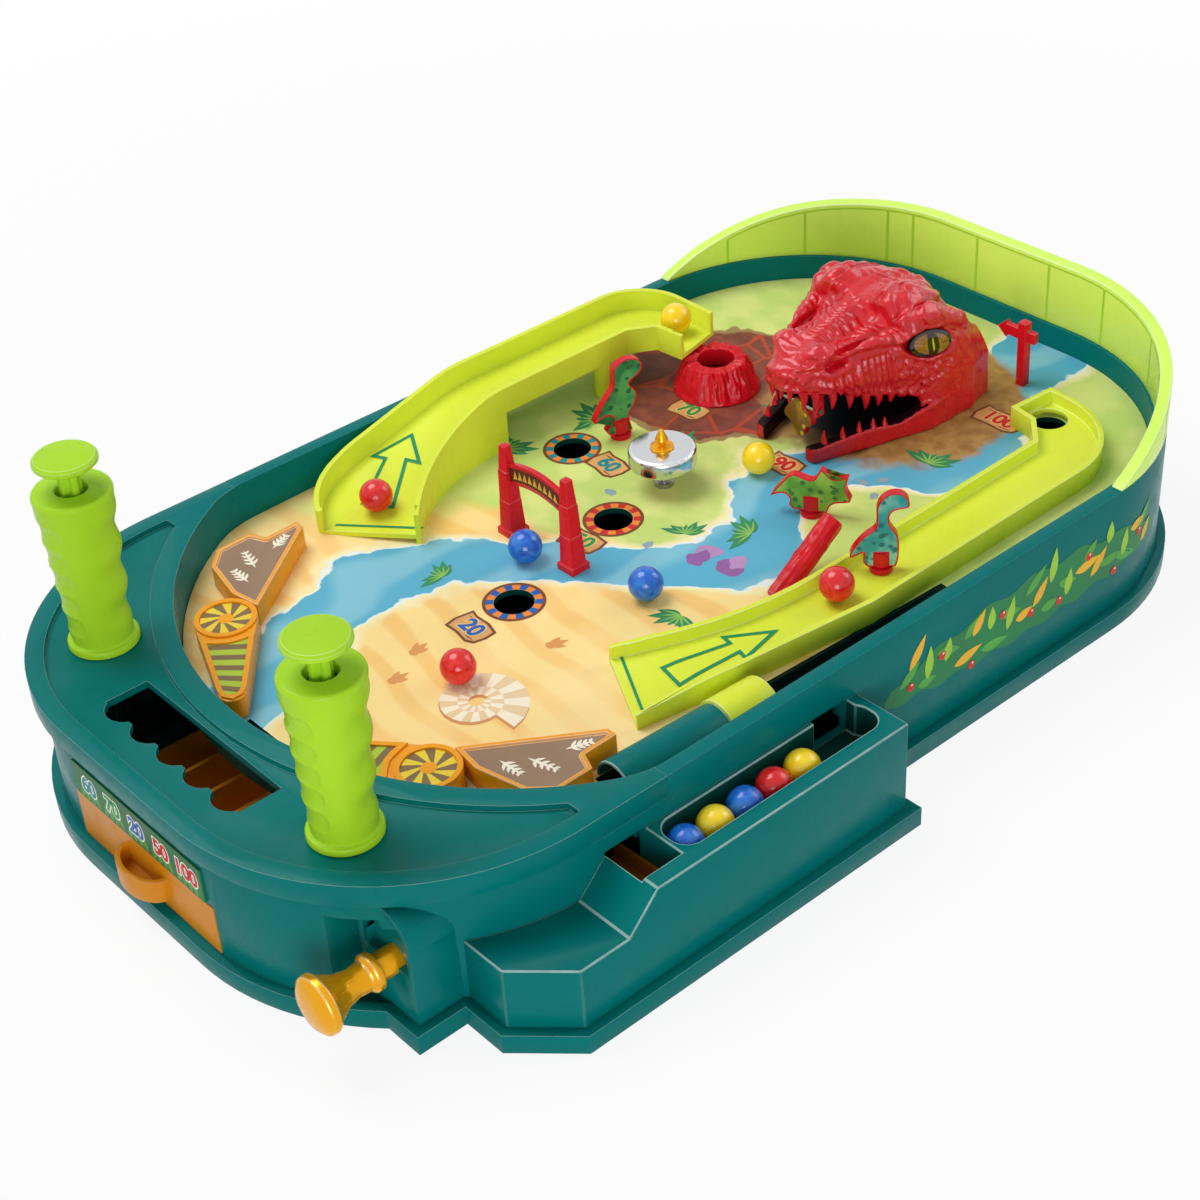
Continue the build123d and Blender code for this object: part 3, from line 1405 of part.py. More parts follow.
# Return springs of the buttons, drawn as sleeves of the coil's outer size
for side, name in ((-1, "left_button_spring"), (1, "right_button_spring")):
    with BuildPart() as spring:
        turn(Plane((side * grip_x, grip_y, grip_base + grip_floor)), [
            (spring_inner, 0), (spring_outer, 0),
            (spring_outer, spring_length), (spring_inner, spring_length),
        ])
    save(spring, name)

# Sliders: a slanted slot turns the button's stroke into a stroke along the body
for side, name in ((-1, "left_slider"), (1, "right_slider")):
    with BuildPart() as slider:
        with BuildSketch(Plane.YZ.offset(side * grip_x)):
            with BuildLine():
                Polyline(
                    (grip_y - slider_nose, slider_low), (crank_pin_y + slider_nose, slider_low),
                    (crank_pin_y + slider_nose, slider_low + slider_bar),
                    (grip_y + slider_shoulder, slider_low + slider_bar),
                    (grip_y + slider_shoulder, pin_height + slider_crest),
                    (grip_y - slider_nose, pin_height + slider_crest), close=True,
                )
            make_face()
            slot_middle = (grip_y + slider_travel / 2, pin_height - slider_travel / 2, 0)
            with Locations(Location(slot_middle, (0, 0, -45))):
                SlotCenterToCenter(slider_travel * sqrt(2), 2 * (pin_radius + slide_gap), mode=Mode.SUBTRACT)
        extrude(amount=slider_thick / 2, both=True)
        turn(Plane((side * grip_x, crank_pin_y, slider_low)), rod(pin_radius, 0, crank_pin_top - slider_low))
    save(slider, name)

# Flippers with their shafts and cranks
for side, name in ((-1, "left"), (1, "right")):
    aim = 180 + flipper_rest if side > 0 else -flipper_rest
    hub_plane = on_field(side * flipper_x, flipper_y, flipper_clear)
    with BuildPart() as flipper:
        with BuildSketch(Plane(hub_plane.location * Location((0, 0, 0), (0, 0, aim)))):
            Circle(hub_radius)
            with Locations((flipper_reach, 0)):
                Circle(tip_radius)
            make_hull()
            Circle(shaft_radius, mode=Mode.SUBTRACT)
        extrude(amount=flipper_height)
    save(flipper, f"{name}_flipper")
    with BuildPart() as shaft:
        shaft_top = flipper_clear + flipper_height
        turn(on_field(side * flipper_x, flipper_y), rod(shaft_radius, -shaft_drop, shaft_top))
        crank_turn = crank_aim if side > 0 else 180 - crank_aim
        crank_plane = on_field(side * flipper_x, flipper_y, crank_level, crank_turn)
        with BuildSketch(crank_plane):
            Circle(crank_radius)
            with Locations((crank_reach, 0)):
                Circle(crank_radius)
            make_hull()
            with Locations((crank_reach + crank_spare / 2, 0)):
                SlotCenterToCenter(crank_spare, 2 * (pin_radius + slide_gap), mode=Mode.SUBTRACT)
        extrude(amount=crank_thick)
    save(shaft, f"{name}_flipper_shaft")

# Plunger: rod with a collar, knob and spring
with BuildPart() as plunger_rod:
    turn(plunger_plane, [
        (0, -rod_inside), (rod_radius, -rod_inside), (rod_radius, -spring_seat - rod_collar),
        (rod_collar_radius, -spring_seat - rod_collar), (rod_collar_radius, -spring_seat),
        (rod_radius, -spring_seat), (rod_radius, rod_outside), (0, rod_outside),
    ])
save(plunger_rod, "plunger_rod")
with BuildPart() as plunger_knob:
    turn(plunger_plane, [(r * knob_radius, rod_outside + along * knob_length) for r, along in knob_shares])
save(plunger_knob, "plunger_knob")
with BuildPart() as plunger_spring:
    turn(plunger_plane, [
        (rod_radius + slide_gap, -spring_seat + seat_gap),
        (chamber_radius - slide_gap, -spring_seat + seat_gap),
        (chamber_radius - slide_gap, -barrel_mouth - seat_gap),
        (rod_radius + slide_gap, -barrel_mouth - seat_gap),
    ])
save(plunger_spring, "plunger_spring")

# Score drawer with five pockets and a bin pull
with BuildPart() as drawer:
    with BuildSketch(Plane.XY.offset(drawer_low)):
        with Locations((0, drawer_front)):
            Rectangle(drawer_width - 2 * wall, drawer_length, align=(Align.CENTER, Align.MIN))
            Rectangle(drawer_width, drawer_face, align=(Align.CENTER, Align.MIN))
    extrude(amount=drawer_height)
    with BuildSketch(Plane.XY.offset(drawer_low + drawer_wall)):
        with Locations((0, drawer_front + drawer_face)):
            with GridLocations(drawer_pocket, 0, drawer_pockets, 1):
                Rectangle(
                    drawer_pocket - drawer_divider, drawer_length - drawer_face - drawer_wall,
                    align=(Align.CENTER, Align.MIN),
                )
    extrude(amount=drawer_height, mode=Mode.SUBTRACT)
    with BuildSketch(Plane.XY.offset(drawer_low + drawer_back_height)):
        with Locations((0, drawer_front + drawer_length)):
            Rectangle(drawer_width, 2 * drawer_wall, align=(Align.CENTER, Align.MAX))
    extrude(amount=drawer_height, mode=Mode.SUBTRACT)
    with BuildSketch(Plane.XY.offset(drawer_low + pull_drop)):
        with Locations((0, drawer_front)):
            Ellipse(pull_radius, pull_reach)
            Rectangle(2 * pull_radius, pull_reach, align=(Align.CENTER, Align.MIN), mode=Mode.SUBTRACT)
    extrude(amount=pull_height)
    with BuildSketch(Plane.XY.offset(drawer_low + pull_drop + drawer_wall)):
        with Locations((0, drawer_front)):
            Ellipse(pull_radius - drawer_wall, pull_reach - drawer_wall)
            Rectangle(2 * pull_radius, pull_reach, align=(Align.CENTER, Align.MIN), mode=Mode.SUBTRACT)
    extrude(amount=pull_height, mode=Mode.SUBTRACT)
save(drawer, "drawer")

# Score strip above the drawer
with BuildPart() as score_strip:
    with BuildSketch(front_plane(drawer_front)):
        with Locations((0, drawer_low + drawer_height + strip_gap)):
            Rectangle(strip_width, strip_tall, align=(Align.CENTER, Align.MIN))
    extrude(amount=strip_thick)
save(score_strip, "score_strip")

# Spinner: a fixed pin, a hub that turns on it and the disc round the hub
spinner_plane = on_field(*place(spinner_shares))
disc_top = disc_low + disc_thick
with BuildPart() as spinner_pin:
    turn(spinner_plane, [
        (0, 0), (pin_foot_radius, 0), (pin_foot_radius, pin_foot_height), (spin_radius, pin_foot_height),
        (spin_radius, spin_top), (0, spin_top),
    ])
save(spinner_pin, "spinner_pin")
with BuildPart() as spinner_knob:
    turn(spinner_plane, [
        (spin_radius + run_gap, hub_low), (tip_low_radius, hub_low), (hub_shoulder, disc_low),
        (hub_core, disc_low), (hub_core, disc_top), (knob_foot, disc_top),
        (knob_foot, disc_top + knob_foot_height), (knob_neck, disc_top + knob_foot_height),
        (knob_waist, disc_top + knob_waist_share * knob_height),
        (knob_head, disc_top + knob_height), (0, disc_top + knob_height),
        (0, spin_top + slide_gap), (spin_radius + run_gap, spin_top + slide_gap),
    ])
save(spinner_knob, "spinner_knob")
with BuildPart() as spinner_disc:
    turn(spinner_plane, [
        (hub_core, disc_low), (disc_radius - disc_edge, disc_low), (disc_radius, disc_low + disc_edge),
        (disc_radius, disc_top - disc_edge), (disc_radius - disc_edge, disc_top), (hub_core, disc_top),
    ])
save(spinner_disc, "spinner_disc")



def perch(spot, on_ramp, up=0.0, turned=0.0):
    """Place of a figure on the playfield, or on the right ramp's floor."""
    x, y = place(spot)
    rise = line_height(right_ramp_line, y) - field_height(y) + seat_gap if on_ramp else 0
    return on_field(x, y, rise + up, turned)


# Flat swinging figures, each on its own peg
with BuildPart() as figure_pegs:
    for name, spot, on_ramp, turned, outline_shares, width, tall in figures:
        turn(perch(spot, on_ramp), rod(peg_radius, 0, peg_height))
        turn(perch(spot, on_ramp), rod(peg_foot_radius, 0, peg_foot))
save(figure_pegs, "figure_pegs")
figure_base = peg_foot + slide_gap
for name, spot, on_ramp, turned, outline_shares, width, tall in figures:
    with BuildPart() as figure:
        turn(perch(spot, on_ramp), rod(figure_boss_radius, figure_base, peg_height + figure_boss_top))
        stand = perch(spot, on_ramp, figure_base, turned)
        with BuildSketch(Plane(stand.origin, x_dir=stand.x_dir, z_dir=-stand.y_dir)):
            with BuildLine():
                Spline(*[(u * width, v * tall) for u, v in outline_shares], periodic=True)
            make_face()
        extrude(amount=figure_thick / 2, both=True)
        with BuildSketch(stand):
            Rectangle(2 * body_width, 2 * body_width)
        extrude(amount=-overrun, mode=Mode.SUBTRACT)
        turn(perch(spot, on_ramp), rod(peg_radius + run_gap, 0, peg_height + slide_gap), Mode.SUBTRACT)
    save(figure, name)

# Balls in the tray, on the playfield and on the ramps, grouped by place and colour
ball_up = ball_radius + seat_gap
ball_groups = {}
for name, ranks in tray_ball_rows.items():
    rows = [trough_front + ball_up + rank * tray_ball_step for rank in ranks]
    ball_groups[name] = [(trough_x, y, trough_floor + ball_up) for y in rows]
for name, shares in field_ball_shares.items():
    x, y = place(shares)
    ball_groups[name] = [(x, y, field_height(y) + ball_up)]
for name, shares in ramp_ball_shares.items():
    x, y = place(shares)
    line = left_ramp_line if x < 0 else right_ramp_line
    ball_groups[name] = [(x, y, line_height(line, y) + ball_up + slide_gap)]
for name, spots in ball_groups.items():
    with BuildPart() as balls:
        with Locations(*spots):
            Sphere(ball_radius)
    save(balls, name)
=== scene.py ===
"""Looks of a tabletop pinball game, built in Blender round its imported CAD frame."""
import sys
import json
import math

import bmesh
import bpy
from mathutils import Matrix, Vector, noise
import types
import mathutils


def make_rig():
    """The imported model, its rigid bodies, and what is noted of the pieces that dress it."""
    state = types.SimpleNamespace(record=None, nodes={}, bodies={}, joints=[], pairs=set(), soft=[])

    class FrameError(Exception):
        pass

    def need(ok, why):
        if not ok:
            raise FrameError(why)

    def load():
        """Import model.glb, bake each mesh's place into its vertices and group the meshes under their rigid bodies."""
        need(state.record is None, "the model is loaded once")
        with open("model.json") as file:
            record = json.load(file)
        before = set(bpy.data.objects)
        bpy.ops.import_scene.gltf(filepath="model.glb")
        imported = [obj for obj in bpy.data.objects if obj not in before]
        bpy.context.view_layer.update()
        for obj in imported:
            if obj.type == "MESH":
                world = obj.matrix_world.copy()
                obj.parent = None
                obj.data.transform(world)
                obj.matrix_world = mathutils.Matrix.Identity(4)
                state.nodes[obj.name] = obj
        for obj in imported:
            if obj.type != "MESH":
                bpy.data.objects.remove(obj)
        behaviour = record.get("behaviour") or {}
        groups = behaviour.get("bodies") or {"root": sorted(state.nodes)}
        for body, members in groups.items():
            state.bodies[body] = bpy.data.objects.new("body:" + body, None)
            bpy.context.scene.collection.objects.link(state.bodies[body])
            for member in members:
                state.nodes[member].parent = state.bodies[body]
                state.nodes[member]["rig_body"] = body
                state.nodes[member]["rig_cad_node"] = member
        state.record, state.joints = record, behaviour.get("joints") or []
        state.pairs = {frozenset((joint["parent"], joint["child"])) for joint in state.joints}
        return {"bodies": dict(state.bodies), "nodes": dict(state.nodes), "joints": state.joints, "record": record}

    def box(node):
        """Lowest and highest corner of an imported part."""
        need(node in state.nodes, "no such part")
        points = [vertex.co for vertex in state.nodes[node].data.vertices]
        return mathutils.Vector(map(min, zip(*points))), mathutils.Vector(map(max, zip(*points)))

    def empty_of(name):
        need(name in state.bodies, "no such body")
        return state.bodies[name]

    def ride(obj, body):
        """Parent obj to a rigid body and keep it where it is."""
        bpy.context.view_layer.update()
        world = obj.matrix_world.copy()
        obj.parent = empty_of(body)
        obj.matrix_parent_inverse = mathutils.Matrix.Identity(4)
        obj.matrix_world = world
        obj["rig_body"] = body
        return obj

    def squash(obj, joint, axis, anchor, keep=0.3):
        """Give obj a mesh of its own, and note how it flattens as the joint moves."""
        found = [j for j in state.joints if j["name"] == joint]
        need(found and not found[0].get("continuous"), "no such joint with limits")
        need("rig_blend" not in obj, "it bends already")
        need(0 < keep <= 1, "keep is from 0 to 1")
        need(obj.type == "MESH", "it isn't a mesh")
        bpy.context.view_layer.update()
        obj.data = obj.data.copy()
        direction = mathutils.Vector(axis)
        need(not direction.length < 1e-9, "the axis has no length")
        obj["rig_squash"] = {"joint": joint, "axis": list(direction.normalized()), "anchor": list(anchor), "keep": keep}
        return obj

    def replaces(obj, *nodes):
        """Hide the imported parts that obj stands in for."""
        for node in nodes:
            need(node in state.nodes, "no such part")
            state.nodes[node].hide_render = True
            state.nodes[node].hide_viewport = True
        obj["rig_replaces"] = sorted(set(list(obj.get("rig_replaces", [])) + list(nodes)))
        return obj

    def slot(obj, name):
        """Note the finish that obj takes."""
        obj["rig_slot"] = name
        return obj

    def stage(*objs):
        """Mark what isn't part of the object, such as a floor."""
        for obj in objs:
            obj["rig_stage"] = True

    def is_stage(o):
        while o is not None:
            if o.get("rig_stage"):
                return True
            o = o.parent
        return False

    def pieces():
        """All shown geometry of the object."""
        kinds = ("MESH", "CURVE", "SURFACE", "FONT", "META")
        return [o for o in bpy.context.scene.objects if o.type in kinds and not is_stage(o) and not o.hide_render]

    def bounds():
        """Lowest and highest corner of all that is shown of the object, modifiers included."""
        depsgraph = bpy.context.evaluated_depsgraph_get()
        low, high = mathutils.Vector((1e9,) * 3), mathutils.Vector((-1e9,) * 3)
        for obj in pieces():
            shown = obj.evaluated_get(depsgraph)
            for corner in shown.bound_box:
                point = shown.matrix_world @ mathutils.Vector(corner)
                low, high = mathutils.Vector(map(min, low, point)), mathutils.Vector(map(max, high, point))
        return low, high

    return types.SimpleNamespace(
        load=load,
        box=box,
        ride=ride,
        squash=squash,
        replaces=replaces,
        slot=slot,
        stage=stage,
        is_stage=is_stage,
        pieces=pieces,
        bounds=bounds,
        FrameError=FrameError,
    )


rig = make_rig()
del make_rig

bl_info = {
    "name": "Tabletop pinball game",
    "version": (1, 0, 0),
    "blender": (4, 5, 0),
    "location": "3D View > Sidebar > Pinball",
    "description": "Mouldings, prints and finishes of a tabletop pinball game",
    "category": "Object",
}

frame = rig.load()
CAD_BOX = [list(corner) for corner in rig.bounds()]

# Tables of places and sizes are in millimetres unless a note says metres.
MM = 0.001
SIDES = ((-1, "left"), (1, "right"))
WELD_DISTANCE = 0.003 * MM
FLAT_ANGLE = math.radians(0.6)
EDGE_ANGLE = math.radians(32)
FULL_TURN = 2 * math.pi


# ---------------------------------------------------------------- sizes and colours

def paint(red, green, blue):
    """A colour as Blender holds it, from screen values of 0 to 255."""
    shares = (value / 255 for value in (red, green, blue))
    return tuple(v / 12.92 if v <= 0.04045 else ((v + 0.055) / 1.055) ** 2.4 for v in shares)


def colour_choice(name, description, *screen):
    """A colour that a user may change."""
    return bpy.props.FloatVectorProperty(name=name, description=description, subtype="COLOR",
                                         size=3, min=0, max=1, default=paint(*screen))


def length_choice(name, description, millimetres):
    """A length that a user may change."""
    return bpy.props.FloatProperty(name=name, description=description, unit="LENGTH",
                                   subtype="DISTANCE", min=0, precision=5,
                                   default=millimetres * MM)


class GameColours(bpy.types.PropertyGroup):
    """Colours of the plastics and the prints."""
    body: colour_choice("Body", "Moulded body, deck, tray and base", 0, 112, 110)
    grip: colour_choice("Grips", "Hand grips and thumb buttons", 168, 216, 42)
    ramp: colour_choice("Ramps", "Ramps and the lane clip", 222, 236, 64)
    shield: colour_choice("Back shield", "Arched back shield", 218, 254, 106)
    red: colour_choice("Red mouldings", "Head, volcano, gate, log and sign", 212, 20, 36)
    orange: colour_choice("Guides", "Frames of the guides and flippers", 240, 158, 16)
    amber: colour_choice("Drawer", "Score drawer and feed chute", 204, 130, 14)
    gold: colour_choice("Gold", "Plunger and spinner knob", 232, 164, 10)
    sand: colour_choice("Sand", "Ground of the printed playfield", 255, 224, 148)
    meadow: colour_choice("Meadow", "Green ground of the printed playfield", 200, 222, 122)
    water: colour_choice("Water", "Printed stream", 92, 178, 208)
    earth: colour_choice("Earth", "Printed ground round the volcano", 118, 62, 50)
    wood: colour_choice("Wood", "Printed number plates", 222, 168, 104)
    inlay: colour_choice("Inlays", "Sunk panels of the guides", 150, 122, 98)


class GameSizes(bpy.types.PropertyGroup):
    """Small sizes of the mouldings and the prints."""
    shell_edge: length_choice("Shell edge", "Rounding of the big teal mouldings", 0.7)
    part_edge: length_choice("Part edge",
                             "Rounding of ramps, flippers, buttons, drawer and plunger knob", 0.5)
    fine_edge: length_choice("Fine edge", "Rounding of gate, sign, rod and spinner knob", 0.3)
    ink: length_choice("Ink", "How far a print stands over its board", 0.06)
    groove: length_choice("Finger groove", "Depth of the grooves in the hand grips", 0.65)
    field_level: length_choice("Field level", "Height of the playfield at its middle", 46.5)
    field_slope: bpy.props.FloatProperty(
        name="Field slope", description="Rise of the playfield to the rear",
        unit="ROTATION", subtype="ANGLE", default=math.radians(1.2))


def colours():
    """The user's colours."""
    return bpy.context.scene.pinball_colours


def sizes():
    """The user's sizes."""
    return bpy.context.scene.pinball_sizes


# ---------------------------------------------------------------- places and curves

def on_field(x, y, up=0.0):
    """A place over the sloped playfield, from millimetres across, along and up."""
    slope = sizes().field_slope
    return Vector((x * MM, (y * math.cos(slope) - up * math.sin(slope)) * MM,
                   sizes().field_level + (y * math.sin(slope) + up * math.cos(slope)) * MM))


def field_place(point):
    """Millimetres across, along and up from the playfield, of a point in metres."""
    slope, level = sizes().field_slope, sizes().field_level
    x, y, z = point.x / MM, point.y / MM, (point.z - level) / MM
    along = y * math.cos(slope) + z * math.sin(slope)
    return x, along, z * math.cos(slope) - y * math.sin(slope)


def turned(x, y, angle):
    """Puts flat points at a place on the playfield, turned by an angle."""
    c, s = math.cos(angle), math.sin(angle)
    return lambda px, py, up: on_field(x + c * px - s * py, y + s * px + c * py, up)


def moved(points, x, y, angle):
    """An outline turned and moved."""
    c, s = math.cos(angle), math.sin(angle)
    return [(x + c * px - s * py, y + s * px + c * py) for px, py in points]


def round_point(x, y, radius, angle):
    """A point at an angle on a circle."""
    return x + radius * math.cos(angle), y + radius * math.sin(angle)


def smooth(low, high, value):
    """A soft step from 0 at low to 1 at high."""
    share = min(1.0, max(0.0, (value - low) / (high - low)))
    return share * share * (3 - 2 * share)


def bell(value, middle, reach):
    """A soft hump of height 1."""
    return math.exp(-((value - middle) / reach) ** 2)


def between(line, y):
    """A value read off a row of (y, value) points."""
    if y <= line[0][0]:
        return line[0][1]
    for (y0, v0), (y1, v1) in zip(line, line[1:]):
        if y <= y1:
            return v0 + (v1 - v0) * (y - y0) / (y1 - y0)
    return line[-1][1]


def outline_band(points, width):
    """A band of that width inside a closed row of (x, y) points, as quads."""
    count = len(points)
    after = [points[(k + 1) % count] for k in range(count)]
    turning = sum(a[0] * b[1] - b[0] * a[1] for a, b in zip(points, after))
    sign = 1 if turning > 0 else -1
    inner = []
    for k in range(count):
        back, here, ahead = (Vector(points[(k + step) % count]) for step in (-1, 0, 1))
        one, two = (here - back).normalized(), (ahead - here).normalized()
        n1, n2 = sign * Vector((-one.y, one.x)), sign * Vector((-two.y, two.x))
        middle = n1 + n2
        middle = middle.normalized() if middle.length > 1e-6 else n1
        inner.append(here + middle * (width / max(0.35, middle.dot(n1))))
    return [[tuple(points[k]), tuple(after[k]), tuple(inner[(k + 1) % count]), tuple(inner[k])]
            for k in range(count)]


def cut_up(outline, parts=8):
    """A quad outline cut into short lengths, so that it can follow a bent floor."""
    a, b, c, d = (Vector(p) for p in outline)
    stops = [(tuple(a.lerp(b, k / parts)), tuple(d.lerp(c, k / parts))) for k in range(parts + 1)]
    return [[near, next_near, next_far, far]
            for (near, far), (next_near, next_far) in zip(stops, stops[1:])]


def oval(x, y, half_x, half_y, turn=0.0, count=28, wobble=0.0, seed=0.0):
    """An oval outline, with an uneven edge if asked."""
    points = []
    for k in range(count):
        a = FULL_TURN * k / count
        uneven = noise.noise(Vector((math.cos(a) * 1.7 + seed, math.sin(a) * 1.7, seed * 0.37)))
        swell = 1 + wobble * uneven
        points.append((half_x * swell * math.cos(a), half_y * swell * math.sin(a)))
    return moved(points, x, y, turn)


def leaf(length, width, bend=0.0, count=9):
    """Outline of a leaf from its stalk at the origin, along +X."""
    side = []
    for k in range(count):
        t = k / (count - 1)
        side.append((t, math.sin(math.pi * t ** 0.8) * width / 2))
    points = [(t * length, w + bend * t * t) for t, w in side]
    return points + [(t * length, -w + bend * t * t) for t, w in reversed(side[1:-1])]


# ---------------------------------------------------------------- pieces

def listed(materials):
    """One material or several, as a list."""
    return list(materials) if isinstance(materials, (list, tuple)) else [materials]


def placed(name, data):
    """A new object in the scene."""
    made = bpy.data.objects.new(name, data)
    bpy.context.scene.collection.objects.link(made)
    return made


def carried(piece, body, slot, replaced=None):
    """Says what a piece rides on, where its finish comes from and which CAD node it replaces."""
    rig.ride(piece, body)
    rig.slot(piece, slot)
    if replaced:
        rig.replaces(piece, replaced)
    return piece


def add_piece(name, mesh, materials, body, slot, angle=35, replaced=None):
    """Puts a finished mesh in the scene, riding on a body."""
    piece = placed(name, mesh)
    for material in listed(materials):
        mesh.materials.append(material)
    mesh.shade_smooth()
    mesh.set_sharp_from_angle(angle=math.radians(angle))
    return carried(piece, body, slot, replaced)


def built(name, points, faces):
    """A mesh with its faces turned outwards."""
    mesh = bpy.data.meshes.new(name)
    mesh.from_pydata([tuple(p) for p in points], [], faces)
    shape = bmesh.new()
    shape.from_mesh(mesh)
    bmesh.ops.recalc_face_normals(shape, faces=shape.faces)
    shape.to_mesh(mesh)
    shape.free()
    return mesh


def meshed(shape, name):
    """The finished mesh of an edited shape."""
    mesh = bpy.data.meshes.new(name)
    shape.to_mesh(mesh)
    shape.free()
    return mesh


def cleaned(node):
    """A CAD solid to edit, with its points welded and its flat faces merged."""
    shape = bmesh.new()
    shape.from_mesh(frame["nodes"][node].data)
    bmesh.ops.remove_doubles(shape, verts=shape.verts, dist=WELD_DISTANCE)
    bmesh.ops.dissolve_limit(shape, angle_limit=FLAT_ANGLE, verts=shape.verts, edges=shape.edges)
    shape.normal_update()
    return shape


def evaluated_mesh(holder):
    """The mesh of an object with its modifiers, or of a filled text."""
    graph = bpy.context.evaluated_depsgraph_get()
    return bpy.data.meshes.new_from_object(holder.evaluated_get(graph))


def applied(piece):
    """Turns a piece's modifiers into mesh."""
    made, old = evaluated_mesh(piece), piece.data
    piece.modifiers.clear()
    piece.data = made
    bpy.data.meshes.remove(old)
    return made


def soften(node, width, materials, slot, body="body", choose=None, segments=2):
    """A copy of a CAD moulding with rounded edges, marked for a painted highlight that is strongest where they face up.

    choose gives the number of a face's material from its centre and normal.
    """
    shape = cleaned(node)
    under = [face for face in shape.faces if face.normal.z < -0.9]
    bmesh.ops.triangulate(shape, faces=under)
    mesh = meshed(shape, node + "_moulding")
    materials = listed(materials)
    edge_kind = len(materials)
    for _ in range(edge_kind + 1):
        mesh.materials.append(None)
    piece = placed(node + "_moulding", mesh)
    for face in mesh.polygons:
        face.use_smooth = True
        face.material_index = choose(face.center, face.normal) if choose else 0
    bevel = piece.modifiers.new("edge", "BEVEL")
    bevel.limit_method, bevel.angle_limit = "ANGLE", EDGE_ANGLE
    bevel.width, bevel.segments = width, segments
    bevel.use_clamp_overlap, bevel.harden_normals = True, False
    bevel.material = edge_kind
    mesh = applied(piece)
    # Bevel faces carry a painted highlight, from 0.12 where they face down to 1 where they face up.
    worn = mesh.attributes.new("worn", "FLOAT", "FACE")
    kinds = [face.material_index for face in mesh.polygons]
    for face, mark in zip(mesh.polygons, worn.data):
        if face.material_index == edge_kind:
            mark.value = 0.12 + 0.88 * smooth(0.05, 0.5, face.normal.z)
    mesh.materials.clear()
    for material in materials:
        mesh.materials.append(material)
    for face, kind in zip(mesh.polygons, kinds):
        face.material_index = kind % edge_kind
        face.use_smooth = True
    mesh.set_sharp_from_angle(angle=EDGE_ANGLE)
    return carried(piece, body, slot, node)


def carve(node, voxel, settle, swell, materials, slot, choose=None, bend=None):
    """A CAD solid as a fine settled skin, bent, then swollen by a rule of place and normal."""
    piece = placed(node + "_carving", frame["nodes"][node].data.copy())
    piece.data.materials.clear()
    skin = piece.modifiers.new("skin", "REMESH")
    skin.mode, skin.voxel_size, skin.adaptivity = "VOXEL", voxel, 0.0
    rounder = piece.modifiers.new("settle", "SMOOTH")
    rounder.factor, rounder.iterations = 0.5, settle
    mesh = applied(piece)
    for point in mesh.vertices if bend else ():
        place = field_place(point.co)
        point.co = on_field(*(a + b for a, b in zip(place, bend(place))))
    mesh.update()
    normals = [Vector(normal.vector) for normal in mesh.vertex_normals]
    moves = [normal * (swell(field_place(point.co), normal) * MM)
             for point, normal in zip(mesh.vertices, normals)]
    for point, move in zip(mesh.vertices, moves):
        point.co += move
    mesh.update()
    for material in listed(materials):
        mesh.materials.append(material)
    for face in mesh.polygons:
        face.use_smooth = True
        if choose:
            face.material_index = choose(field_place(face.center), face.normal)
    return carried(piece, "body", slot, node)


def dress(node, material):
    """Gives a CAD moulding whose shape is right its finish."""
    for place in frame["nodes"][node].material_slots:
        place.material = material


def ring_faces(rows, sides):
    """Quads between rows of points that go round a form."""
    faces = []
    for start in range(0, (rows - 1) * sides, sides):
        for side in range(sides):
            after = (side + 1) % sides
            faces.append((start + side, start + after,
                          start + sides + after, start + sides + side))
    return faces


def lathe(rings, sides, bend):
    """Points and faces of a turned form from (radius, height) rings, each point moved by bend."""
    points = []
    for radius, height in rings:
        for side in range(sides):
            turn = FULL_TURN * side / sides
            r, z = bend(radius, height, turn)
            points.append(Vector((r * math.cos(turn), r * math.sin(turn), z)))
    return points, ring_faces(len(rings), sides)


def joined(parts):
    """Several sets of points and faces as one."""
    points, faces = [], []
    for more, loops in parts:
        faces += [tuple(k + len(points) for k in loop) for loop in loops]
        points += more
    return points, faces


def flat_print(name, outlines, place, material, body="body", slot="printed_board", up=None,
               choose=None):
    """Printed shapes: closed outlines of (x, y), each put in place over the board.

    choose gives the number of an outline's material.
    """
    shape = bmesh.new()
    rise = sizes().ink / MM if up is None else up
    for number, outline in enumerate(outlines):
        level = rise + 0.001 * number
        face = shape.faces.new([shape.verts.new(place(x, y, level)) for x, y in outline])
        face.material_index = choose(number) if choose else 0
    bmesh.ops.triangulate(shape, faces=shape.faces)
    shape.normal_update()
    return add_piece(name, meshed(shape, name), material, body, slot)


def numeral_mesh(name, words, size, bold):
    """Flat mesh of plain numbers, with strokes widened by bold, and the area that it covers."""
    letter = bpy.data.curves.new(name, "FONT")
    letter.body, letter.size, letter.offset = words, size, bold
    letter.align_x, letter.align_y = "CENTER", "CENTER"
    holder = placed(name + "_text", letter)
    mesh = evaluated_mesh(holder)
    bpy.data.objects.remove(holder)
    bpy.data.curves.remove(letter)
    return mesh, sum(face.area for face in mesh.polygons)


def numerals(name, words, size, place, material, up, bold, slot="printed_board"):
    """Plain numbers printed flat, centred, in millimetres, with every stroke filled.

    A widened outline may cross itself and lose its fill, so nearby widths are tried as well.
    """
    mesh, plain = numeral_mesh(name, words, size, 0.0)
    for step in (0.0, 0.02, -0.02, 0.04, -0.04, 0.06, -0.06):
        wide, cover = numeral_mesh(name, words, size, bold + step)
        if cover > 0.95 * plain * (1 + 1.7 * bold):
            mesh = wide
            break
    for point in mesh.vertices:
        point.co = place(point.co.x, point.co.y, up + point.co.z)
    mesh.materials.clear()
    return add_piece(name, mesh, material, "body", slot)


# ---------------------------------------------------------------- shader steps

